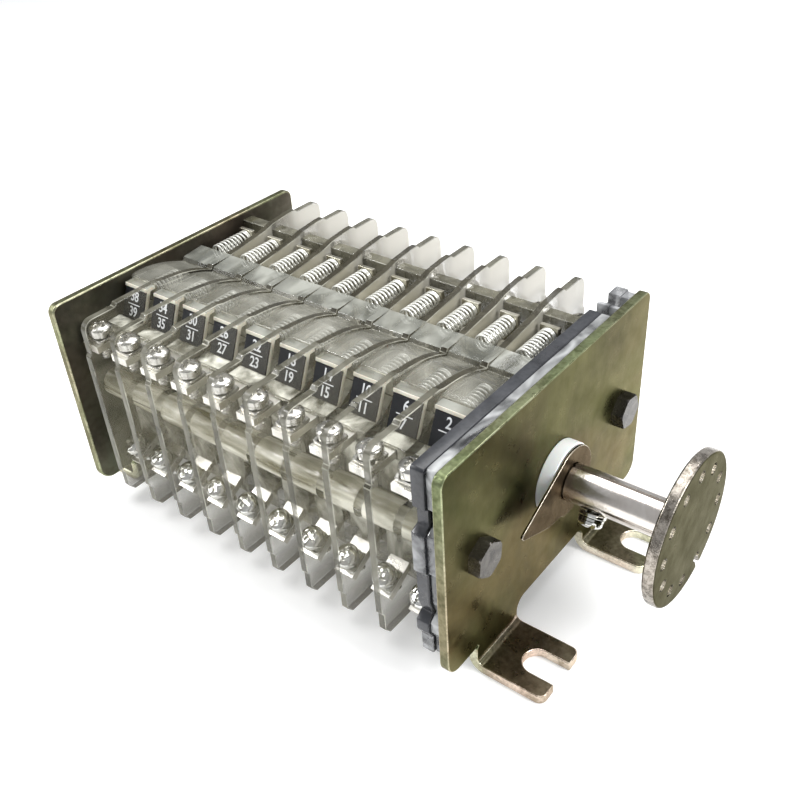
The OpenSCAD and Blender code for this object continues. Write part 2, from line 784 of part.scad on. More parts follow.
module near_upper_terminals() { upper_terminals(near_lever_y); }
module far_upper_terminals() { far_side() upper_terminals(far_lever_y); }
module near_lower_terminals() { lower_terminals(); }
module far_lower_terminals() { far_side() lower_terminals(); }
module near_upper_screws() { each_section() up_screw_place() terminal_screw(); }
module far_upper_screws() { far_side() near_upper_screws(); }
module near_lower_screws() { each_section() low_screw_place() terminal_screw(); }
module far_lower_screws() { far_side() near_lower_screws(); }
module near_upper_washers() { each_section() up_screw_place() terminal_washers(); }
module far_upper_washers() { far_side() near_upper_washers(); }
module near_lower_washers() { each_section() low_screw_place() terminal_washers(); }
module far_lower_washers() { far_side() near_lower_washers(); }
module near_upper_levers() { upper_levers(near_lever_y, near_spring_z); }
module far_upper_levers() { far_side() upper_levers(far_lever_y, far_spring_z); }
module near_lower_levers() { lower_levers(); }
module far_lower_levers() { far_side() lower_levers(); }
module near_upper_springs() { contact_springs(near_lever_y, near_spring_z); }
module far_upper_springs() { far_side() contact_springs(far_lever_y, far_spring_z); }
module near_lower_springs() { contact_springs(low_lever_y, low_spring_z); }
module far_lower_springs() { far_side() near_lower_springs(); }

front_end_plate();
rear_end_plate();
front_end_housing();
front_cover();
section_housing_01();
section_housing_02();
section_housing_03();
section_housing_04();
section_housing_05();
section_housing_06();
section_housing_07();
section_housing_08();
section_housing_09();
section_housing_10();
contact_rotor_01();
contact_rotor_02();
contact_rotor_03();
contact_rotor_04();
contact_rotor_05();
contact_rotor_06();
contact_rotor_07();
contact_rotor_08();
contact_rotor_09();
contact_rotor_10();
bridge_contacts();
square_shaft();
front_bushing();
rear_bushing();
position_pointer();
crank_tube();
crank_disc();
crank_screw();
crank_screw_washers();
tie_bolts();
tie_washers();
tie_nuts();
label_holders();
label_faces();
near_upper_terminals();
near_lower_terminals();
far_upper_terminals();
far_lower_terminals();
near_upper_screws();
near_lower_screws();
far_upper_screws();
far_lower_screws();
near_upper_washers();
near_lower_washers();
far_upper_washers();
far_lower_washers();
near_upper_levers();
near_lower_levers();
far_upper_levers();
far_lower_levers();
near_upper_springs();
near_lower_springs();
far_upper_springs();
far_lower_springs();
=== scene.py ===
"""Visual model of a rotary auxiliary switch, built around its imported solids.

Ten clear contact sections stand between two bent steel end plates, with a drilled crank disc on the shaft.
The file is laid out as an add-on and run as a script. Lengths are in metres unless a comment says
otherwise, x runs along the shaft towards the disc and z = 0 is the underside of the feet.
"""

import json
import math

import bmesh
import bpy
import numpy as np
from bpy.props import FloatProperty, FloatVectorProperty, IntProperty, PointerProperty
from mathutils import Matrix, Vector

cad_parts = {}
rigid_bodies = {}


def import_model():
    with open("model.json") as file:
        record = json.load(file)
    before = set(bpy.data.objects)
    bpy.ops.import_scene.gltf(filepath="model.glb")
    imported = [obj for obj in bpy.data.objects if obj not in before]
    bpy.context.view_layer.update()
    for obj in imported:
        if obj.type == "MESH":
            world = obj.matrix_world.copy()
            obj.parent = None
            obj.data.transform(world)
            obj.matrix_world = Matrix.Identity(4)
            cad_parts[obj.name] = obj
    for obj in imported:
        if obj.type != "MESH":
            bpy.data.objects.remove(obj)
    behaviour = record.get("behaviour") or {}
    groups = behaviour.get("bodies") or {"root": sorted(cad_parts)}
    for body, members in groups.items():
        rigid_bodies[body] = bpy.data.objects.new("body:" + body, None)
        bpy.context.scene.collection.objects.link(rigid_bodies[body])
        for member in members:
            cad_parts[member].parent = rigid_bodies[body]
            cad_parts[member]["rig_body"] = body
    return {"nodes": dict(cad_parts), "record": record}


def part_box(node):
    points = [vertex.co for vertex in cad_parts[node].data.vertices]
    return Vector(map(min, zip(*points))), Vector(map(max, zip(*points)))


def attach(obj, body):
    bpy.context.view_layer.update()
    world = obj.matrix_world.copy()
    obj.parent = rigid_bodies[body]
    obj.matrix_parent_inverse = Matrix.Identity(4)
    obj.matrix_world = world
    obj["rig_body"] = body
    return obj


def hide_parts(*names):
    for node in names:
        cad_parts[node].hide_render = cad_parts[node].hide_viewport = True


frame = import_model()

bl_info = {
    "name": "Auxiliary Switch Looks",
    "version": (1, 0, 0),
    "blender": (4, 5, 0),
    "location": "3D Viewport > Sidebar > Switch",
    "description": "Builds the surfaces, materials and stage of a rotary auxiliary switch",
    "category": "Object",
}

NODES = frame["nodes"]
NODE_SLOT = {row["node"]: row["material_slot"] for row in frame["record"]["subparts"]}
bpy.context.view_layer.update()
MM = 0.001
QUARTERS = ("near_upper", "near_lower", "far_upper", "far_lower")
# The lower screws get a brighter copy of the nickel finish, a painted highlight
SCREW_FINISH = ("nickel_screw", "chrome_screw")  # of the upper and of the lower screws


def metres(name, description, default):
    """A property that holds a length in metres."""
    return FloatProperty(name=name, description=description, default=default, unit="LENGTH")


def shade(name, description, default):
    """A property that holds a colour."""
    return FloatVectorProperty(name=name, description=description, default=default, subtype="COLOR")


class SwitchSizes(bpy.types.PropertyGroup):
    """Sizes of the pieces that are shaped here"""

    sections: IntProperty(name="Sections", description="Number of contact sections", default=10)
    pitch: metres("Pitch", "Distance between sections", 0.014)
    first_x: metres("First section", "Where section 1 begins", -0.072)
    strip_x: metres("Contact middle", "From a section's start to its contacts", 0.0046)
    shaft_z: metres("Shaft height", "Height of the shaft axis", 0.045)
    head_d: metres("Screw head", "Diameter of a terminal screw head", 0.0076)
    head_h: metres("Head height", "Height of a terminal screw head", 0.0028)
    thread_d: metres("Screw thread", "Diameter of the terminal screws", 0.004)
    thread_pitch: metres("Thread pitch", "Rise of the thread in one turn", 0.0009)
    spring_d: metres("Spring", "Outer diameter of the contact springs", 0.0056)
    wire_d: metres("Spring wire", "Diameter of the springs' wire", 0.0007)
    digit_h: metres("Digit height", "Height of the digits on the labels", 0.0032)


class SwitchColours(bpy.types.PropertyGroup):
    """Colours of the main finishes"""

    zinc_light: shade("Zinc light", "Lighter tone of the plates", (0.106, 0.098, 0.042))
    zinc_dark: shade("Zinc dark", "Darker tone of the plates", (0.051, 0.050, 0.021))
    fin_near: shade("Fins near", "Veil in the fins' near parts", (0.52, 0.49, 0.38))
    # the far veil is a lighter copy, painted light, and the low veil a darker copy, painted shade
    fin_far: shade("Fins far", "Veil in the fins' far parts", (0.60, 0.58, 0.52))
    fin_low: shade("Fins low", "Veil in the fins' lower parts", (0.215, 0.202, 0.162))
    floor: shade("Floor", "Colour of the floor", (0.92, 0.92, 0.92))


class StageValues(bpy.types.PropertyGroup):
    """Camera of the photograph and its frame"""

    camera_place: FloatVectorProperty(
        name="Camera", description="Place of the camera", unit="LENGTH", default=(0.1790, -0.1880, 0.2221))
    camera_turn: FloatVectorProperty(
        name="Camera turn", description="Turn of the camera", subtype="EULER",
        default=tuple(math.radians(a) for a in (54.7055, 2.7158, 37.1157)))
    lens: FloatProperty(
        name="Lens", description="Focal length on a 36 mm sensor, in millimetres", default=43.15)
    shift_x: FloatProperty(name="Shift across", description="Shift of the frame sideways", default=-0.0212)
    shift_y: FloatProperty(name="Shift up", description="Shift of the frame upwards", default=0.0030)


# Meshes from arrays


def round_angles(steps):
    """Angles spread evenly over a full turn."""
    return np.linspace(0, 2 * math.pi, steps, endpoint=False)


def polar(r, a, z):
    """Points at x = r cos a, y = r sin a and the height z."""
    return np.stack([r * np.cos(a), r * np.sin(a), np.broadcast_to(np.asarray(z, float), a.shape)], -1)


def circle(steps):
    """Points of a unit circle as rows of x and y."""
    return polar(1.0, round_angles(steps), 0.0)[:, :2]


def moved(x, y, z):
    """A move by x, y and z."""
    return Matrix.Translation((x, y, z))


def turned(degrees, axis):
    """A turn about an axis."""
    return Matrix.Rotation(math.radians(degrees), 4, axis)


def grid_faces(rows, cols, wrap_rows=False):
    """Quads of a grid of rows by cols points, joined round its columns and, where asked, round its rows."""
    r = np.arange(rows if wrap_rows else rows - 1)
    r, c = np.meshgrid(r, np.arange(cols), indexing="ij")
    r2, c2 = (r + 1) % rows, (c + 1) % cols
    return np.stack([r * cols + c, r * cols + c2, r2 * cols + c2, r2 * cols + c], -1).reshape(-1, 4)


def turned_form(profile, steps, radius_of=None):
    """A profile of (radius, height) pairs carried round the z axis: x = r cos a, y = r sin a, z = height.
    radius_of(radius, height, angle) changes the radius where the form isn't round."""
    profile = np.asarray(profile, float)
    r, a = np.meshgrid(profile[:, 0], round_angles(steps), indexing="ij")
    z = np.repeat(profile[:, 1:2], steps, 1)
    if radius_of is not None:
        r = radius_of(r, z, a)
    return polar(r, a, z).reshape(-1, 3), grid_faces(len(profile), steps)


def swept_form(path, across, up, section):
    """A closed section of (across, up) pairs carried along a path: point = path + a * across + b * up, where
    across and up may stay the same all along. The first and last sections shrink to close the ends."""
    path, across, up = (np.concatenate([v[:1], v, v[-1:]]) for v in np.broadcast_arrays(path, across, up))
    size = np.ones((len(path), 1, 1))
    size[0] = size[-1] = 0
    offset = across[:, None] * section[None, :, :1] + up[:, None] * section[None, :, 1:]
    return (path[:, None] + size * offset).reshape(-1, 3), grid_faces(len(path), len(section))


def placed(form, matrix):
    """The form moved by a 4x4 matrix: p' = R p + t."""
    points, faces = form
    m = np.array(matrix, float)
    return points @ m[:3, :3].T + m[:3, 3], faces


def joined(forms):
    """Several forms as one list of points and faces."""
    points, faces, start = [], [], 0
    for p, f in forms:
        points.append(p)
        faces.extend((f + start).tolist() if isinstance(f, np.ndarray) else
                     [[i + start for i in face] for face in f])
        start += len(p)
    return np.concatenate(points), faces


MERGE_DISTANCE = 2e-6
EDGE_ANGLE = math.radians(28)  # edges sharper than this are rounded in copies of CAD nodes
# Rounded edges in that place get a brighter finish: a painted highlight on the sections, plates and pointer
GLINT = 1  # material place of rounded edges where a piece shows them apart


def new_object(name, data):
    """An object of that data, linked to the scene."""
    new = bpy.data.objects.new(name, data)
    bpy.context.scene.collection.objects.link(new)
    return new


def finished_piece(mesh, bm, finishes, body, slot, stands_for, rule=None, angle=35):
    """Makes the piece of a mesh, with its finishes in order and smooth shading that keeps edges over the
    angle sharp. A rule sorts its faces."""
    bm.to_mesh(mesh)
    bm.free()
    piece = new_object(mesh.name, mesh)
    for name in finishes:
        mesh.materials.append(finish(name))
    mesh.shade_smooth()
    mesh.set_sharp_from_angle(angle=math.radians(angle))
    piece.modifiers.new("even_shading", "WEIGHTED_NORMAL").keep_sharp = True
    if rule:
        sort_faces(mesh, rule, finishes.index)
    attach(piece, body)
    if stands_for:
        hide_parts(*stands_for)


def sort_faces(mesh, rule, at):
    """Gives each face its material place: rule(normal, centre, places, at) changes the places. Normals and
    centres, in millimetres, come as rows of x, y and z, and at(name) is a finish's place."""
    count = len(mesh.polygons)
    normals, centres = np.zeros(count * 3), np.zeros(count * 3)
    places = np.zeros(count, np.int32)
    mesh.polygons.foreach_get("normal", normals)
    mesh.polygons.foreach_get("center", centres)
    mesh.polygons.foreach_get("material_index", places)
    rule(normals.reshape(-1, 3).T, centres.reshape(-1, 3).T / MM, places, at)
    mesh.polygons.foreach_set("material_index", places)


def add_piece(name, forms, body, slot, finishes, stands_for=(), **more):
    """Puts closed forms into a new piece that rides on a body and may stand for CAD nodes."""
    points, faces = joined(forms)
    mesh = bpy.data.meshes.new(name)
    mesh.from_pydata(points.tolist(), [], faces)
    bm = bmesh.new()
    bm.from_mesh(mesh)
    bmesh.ops.remove_doubles(bm, verts=bm.verts, dist=MERGE_DISTANCE)
    bmesh.ops.dissolve_degenerate(bm, edges=bm.edges, dist=1e-7)
    bmesh.ops.recalc_face_normals(bm, faces=bm.faces)
    finished_piece(mesh, bm, finishes, body, slot, stands_for, **more)


def rounded_copy(node, width, finishes, segments=2, glint=False, clamp=True, rule=None):
    """A copy of a CAD node's mesh with doubles merged, flat facets joined and edges rounded by a width in
    millimetres."""
    bm = bmesh.new()
    bm.from_mesh(NODES[node].data)
    bmesh.ops.remove_doubles(bm, verts=bm.verts, dist=MERGE_DISTANCE)
    bmesh.ops.dissolve_limit(bm, angle_limit=math.radians(0.4), verts=bm.verts, edges=bm.edges)
    for f in bm.faces:
        f.material_index = 0
    edges = [e for e in bm.edges if len(e.link_faces) == 2 and e.calc_face_angle(0) > EDGE_ANGLE]
    bmesh.ops.bevel(bm, geom=edges, offset=width * MM, segments=segments, profile=0.5, affect="EDGES",
                    clamp_overlap=clamp, material=GLINT if glint else -1)
    mesh = bpy.data.meshes.new("finished_" + node)
    finished_piece(mesh, bm, finishes, NODES[node]["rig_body"], NODE_SLOT[node], [node], rule)


# Shared shader groups


def set_inputs(tree, node, inputs):
    """Links or sets a node's inputs."""
    for key, value in inputs.items():
        if isinstance(value, bpy.types.NodeSocket):
            tree.links.new(value, node.inputs[key])
        else:
            node.inputs[key].default_value = value


def place_node(tree, kind, inputs, **values):
    """A shader node with its values set and its inputs linked or set."""
    node = tree.nodes.new("ShaderNode" + kind)
    for key, value in values.items():
        setattr(node, key, value)
    set_inputs(tree, node, inputs)
    return node


def maths(tree, operation, a, b, **values):
    """Two numbers put together by an operation."""
    return place_node(tree, "Math", {0: a, 1: b}, operation=operation, **values).outputs[0]


def multiplied(tree, vector, by):
    """A vector multiplied axis by axis."""
    return place_node(tree, "VectorMath", {0: vector, 1: by}, operation="MULTIPLY").outputs[0]


def blended(tree, factor, a, b, kind="FLOAT", **values):
    """Two floats or two colours mixed by a factor."""
    first, output = (2, 0) if kind == "FLOAT" else (6, 2)
    node = place_node(tree, "Mix", {0: factor, first: a, first + 1: b}, data_type=kind, **values)
    return node.outputs[output]


def ranged(tree, value, low, high, start=0.0, end=1.0, **values):
    """A value between start and end carried over to the range from low to high."""
    return place_node(tree, "MapRange", {"Value": value, "From Min": start, "From Max": end,
                                         "To Min": low, "To Max": high}, **values).outputs[0]


def noise(tree, vector, scale, detail=3.0, rough=0.55, distortion=0.0):
    """Noise between 0 and 1."""
    return place_node(tree, "TexNoise", {"Vector": vector, "Scale": scale, "Detail": detail,
                                         "Roughness": rough, "Distortion": distortion}).outputs["Fac"]


def relief(tree, height, strength, depth):
    """A normal tilted by the slope of a height."""
    return place_node(tree, "Bump", {"Height": height, "Strength": strength, "Distance": depth}).outputs[0]


def rgba(tone):
    """Three numbers of a colour with full opacity."""
    return (*tone[:3], 1.0)


def new_group(name, inputs, outputs):
    """A shader group with named sockets, given as (name, kind, default), what it gets and what it returns."""
    group = bpy.data.node_groups.new(name, "ShaderNodeTree")
    for key, kind, default in inputs:
        socket = group.interface.new_socket(key, in_out="INPUT", socket_type="NodeSocket" + kind)
        if default is not None:
            socket.default_value = default
    for key, kind in outputs:
        group.interface.new_socket(key, in_out="OUTPUT", socket_type="NodeSocket" + kind)
    return group, group.nodes.new("NodeGroupInput").outputs, group.nodes.new("NodeGroupOutput").inputs


def mottle_group():
    """Two tones mixed by cloudy noise, with finer specks laid over them."""
    group, given, result = new_group("mottle", [
        ("Vector", "Vector", None), ("Scale", "Float", 60.0), ("Tone A", "Color", (0.5, 0.5, 0.5, 1)),
        ("Tone B", "Color", (0.3, 0.3, 0.3, 1)), ("Specks", "Float", 0.2), ("Detail", "Float", 4.0)],
        [("Colour", "Color"), ("Mask", "Float")])
    cloud = noise(group, given["Vector"], given["Scale"], given["Detail"], 0.6, 0.6)
    fine = noise(group, given["Vector"], maths(group, "MULTIPLY", given["Scale"], 9.0), 1.0)
    specks = maths(group, "MULTIPLY", maths(group, "SUBTRACT", fine, 0.5), given["Specks"])
    total = maths(group, "ADD", ranged(group, cloud, 0.0, 1.0, 0.34, 0.66), specks, use_clamp=True)
    group.links.new(blended(group, total, given["Tone A"], given["Tone B"], "RGBA"), result["Colour"])
    group.links.new(total, result["Mask"])
    return group


def grain_group():
    """Fine noise as a height, and a roughness that wanders between two values."""
    group, given, result = new_group("grain", [
        ("Vector", "Vector", None), ("Scale", "Float", 900.0), ("Rough Low", "Float", 0.3),
        ("Rough High", "Float", 0.5)], [("Roughness", "Float"), ("Height", "Float")])
    slow = noise(group, given["Vector"], maths(group, "MULTIPLY", given["Scale"], 0.12))
    rough = ranged(group, slow, given["Rough Low"], given["Rough High"], 0.3, 0.7)
    group.links.new(rough, result["Roughness"])
    group.links.new(noise(group, given["Vector"], given["Scale"], 3.0, 0.6), result["Height"])
    return group


def streak_group():
    """Noise stretched along one axis, as rolling or drawing leaves on metal."""
    group, given, result = new_group("streaks", [
        ("Vector", "Vector", None), ("Stretch", "Vector", (1, 1, 1)), ("Scale", "Float", 400.0)],
        [("Mask", "Float")])
    drawn_out = multiplied(group, given["Vector"], given["Stretch"])
    group.links.new(noise(group, drawn_out, given["Scale"], 3.0, 0.6), result["Mask"])
    return group


# In the fins, Far gives the lighter veil, painted light, which Corner makes denser; Low gives the darker
# veil, painted shade
ZONES = {  # parts of the fins, and of each step its axis, where it is 0 and where it is 1
    "High": (("Z", 0.066, 0.069),),
    "Far": (("Y", 0.016, 0.034),),
    "Window": (("Y", 0.0075, 0.0095), ("Y", 0.029, 0.027), ("Z", 0.055, 0.063)),
    "Corner": (("Y", 0.033, 0.043), ("Z", 0.060, 0.074)),
    "Low": (("Z", 0.022, 0.016),),
}


def zones_group():
    """Parts of the fins by smooth steps of y and z. A part bounded by several steps is their product."""
    group, given, result = new_group("zones", [("Vector", "Vector", None)], [(key, "Float") for key in ZONES])
    place = place_node(group, "SeparateXYZ", {0: given["Vector"]}).outputs
    for key, steps in ZONES.items():
        share = 1.0
        for axis, none, full in steps:
            step = ranged(group, place[axis], 0.0, 1.0, none, full, interpolation_type="SMOOTHSTEP")
            share = maths(group, "MULTIPLY", step, share)
        group.links.new(share, result[key])
    return group


GROUP_MAKERS = {"mottle": mottle_group, "grain": grain_group, "streaks": streak_group, "zones": zones_group}


def shared_group(tree, name, inputs):
    """Places a shared group, made the first time it is asked for, and returns what it puts out."""
    group = bpy.data.node_groups.get(name) or GROUP_MAKERS[name]()
    return place_node(tree, "Group", inputs, node_tree=group).outputs


def mottled(tree, vector, scale, tone_a, tone_b, specks, **more):
    """Two mottled tones and the mask between them."""
    return shared_group(tree, "mottle", {"Vector": vector, "Scale": scale, "Tone A": rgba(tone_a),
                                         "Tone B": rgba(tone_b), "Specks": specks, **more})


# Finishes

FINISH_END = "_finish"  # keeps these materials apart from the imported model's own


def new_material(name):
    """An empty material with a Principled shader and object coordinates."""
    material = bpy.data.materials.new(name + FINISH_END)
    material.use_nodes = True
    tree = material.node_tree
    tree.nodes.clear()
    shader = place_node(tree, "BsdfPrincipled", {})
    place_node(tree, "OutputMaterial", {0: shader.outputs[0]})
    return material, tree, shader, place_node(tree, "TexCoord", {}).outputs["Object"]


def grained(tree, coords, scale, rough, bump, streak, streak_scale):
    """Roughness and normal of a fine grain, with streaks where a stretch is given."""
    fine = shared_group(tree, "grain", {"Vector": coords, "Scale": scale, "Rough Low": rough[0],
                                        "Rough High": rough[1]})
    height = fine["Height"]
    if streak is not None:
        lines = shared_group(tree, "streaks", {"Vector": coords, "Stretch": streak, "Scale": streak_scale})
        height = maths(tree, "ADD", height, lines["Mask"])
    return {"Roughness": fine["Roughness"], "Normal": relief(tree, height, bump, 0.0003)}


def solid_finish(name, tone_a, tone_b, rough, scale=60.0, specks=0.3, bump=0.02, grain=1200.0, metallic=0.0,
                 specular=0.5, streak=None, subsurface=0.0, tint=(1, 1, 1)):
    """A finish with two mottled tones, wandering roughness and a fine grain in the surface. The tint
    colours a metal's reflections near a glancing look."""
    material, tree, shader, coords = new_material(name)
    set_inputs(tree, shader, {
        "Base Color": mottled(tree, coords, scale, tone_a, tone_b, specks)["Colour"], "Metallic": metallic,
        "Specular IOR Level": specular, "Specular Tint": rgba(tint), "Subsurface Weight": subsurface,
        "Subsurface Scale": 0.001, **grained(tree, coords, grain, rough, bump, streak, grain)})
    return material


TINGES = ((0.36, (0.90, 1.05, 0.88, 1)), (0.5, (1, 1, 1, 1)), (0.66, (1.10, 0.95, 0.96, 1)))


def zinc_plating(name, light, dark, rough=(0.24, 0.42), scale=28.0, specks=0.35, bump=0.05, painted_lift_below=1.0):
    """Passivated zinc on sheet steel: olive clouds, faint green and violet tinges and rolling streaks. The
    tone is lifted towards the feet by the factor given: painted light that brightens the lower plate."""
    material, tree, shader, coords = new_material(name)
    clouds = mottled(tree, coords, scale, light, dark, specks)["Colour"]
    ramp = place_node(tree, "ValToRGB", {0: noise(tree, coords, 19.0, 2.0, 0.5, 1.2)})
    stops = ramp.color_ramp.elements
    stops.new(TINGES[1][0])
    for stop, (position, tinge) in zip(stops, TINGES):
        stop.position, stop.color = position, tinge
    tinged = blended(tree, 0.8, clouds, ramp.outputs[0], "RGBA", blend_type="MULTIPLY")
    # painted light: the tone grows lighter towards the feet
    height = place_node(tree, "SeparateXYZ", {0: coords}).outputs["Z"]
    set_inputs(tree, shader, {
        "Base Color": multiplied(tree, tinged, ranged(tree, height, painted_lift_below, 1.0, 0.006, 0.060)),
        "Metallic": 1.0, "Specular Tint": (0.82, 0.75, 0.68, 1.0),
        **grained(tree, coords, 1500.0, rough, bump, (1, 1, 0.06), 900)})
    return material


def film(tree, shader, cloud, tone, opacity, rim, rough, bump, specular):
    """Sets a Principled shader up as a clear film that veils sight by its opacity and closes up towards a
    glancing look, with the fourth power of the facing value."""
    facing = place_node(tree, "LayerWeight", {"Blend": 0.5}).outputs["Facing"]
    set_inputs(tree, shader, {
        "Base Color": tone, "Roughness": ranged(tree, cloud, *rough), "IOR": 1.45,
        "Specular IOR Level": specular, "Normal": relief(tree, cloud, bump, 0.001),
        "Alpha": blended(tree, maths(tree, "POWER", facing, 4.0), opacity, rim)})


def clear_plastic(name, dark, bright, opacity, rim, rough, scale, stretch=(1, 1, 1), bump=0.04,
                  specular=0.6):
    """Clear moulded plastic with darker, thinner clouds and brighter, denser ones. In clear_wall and
    clear_boss the bright clouds are painted highlights.
    """
    material, tree, shader, coords = new_material(name)
    cloud = mottled(tree, multiplied(tree, coords, stretch), scale, dark, bright, 0.2, Detail=2.0)
    density = ranged(tree, cloud["Mask"], *opacity)
    film(tree, shader, cloud["Mask"], cloud["Colour"], density, rim, rough, bump, specular)
    return material


def fin_plastic(name, near, far, low, thin, dense, in_zones):
    """Plastic of the fins: a cloudy veil on the near side, denser behind the springs, lighter and denser at
    the far side and corner as painted light, and darker and dense below as painted shade. The opacity is
    given for thin near clouds, for dense ones and then for each zone."""
    material, tree, shader, coords = new_material(name)
    drawn_out = multiplied(tree, coords, (1, 0.5, 1))
    cloud = mottled(tree, drawn_out, 75.0, [0.7 * c for c in near], near, 0.15, Detail=2.0)
    zones = shared_group(tree, "zones", {"Vector": coords})
    # painted light and shade: a lighter veil on the far side and a darker one below
    tone = blended(tree, zones["Far"], cloud["Colour"], rgba(far), "RGBA")
    tone = blended(tree, zones["Low"], tone, rgba(low), "RGBA")
    density = blended(tree, cloud["Mask"], thin, dense)
    for zone, value in zip(ZONES, in_zones):
        density = blended(tree, zones[zone], density, value)
    film(tree, shader, cloud["Mask"], tone, density, 0.9, (0.05, 0.16), 0.03, 0.6)
    return material


def recipe(maker, **shared):
    return lambda *args, **values: lambda name: maker(name, *args, **shared, **values)


def colours():
    """The colours that a user may change."""
    return bpy.context.scene.switch_colours


ZINC, CLEAR, SOLID = recipe(zinc_plating), recipe(clear_plastic), recipe(solid_finish)
METAL = recipe(solid_finish, metallic=1.0)

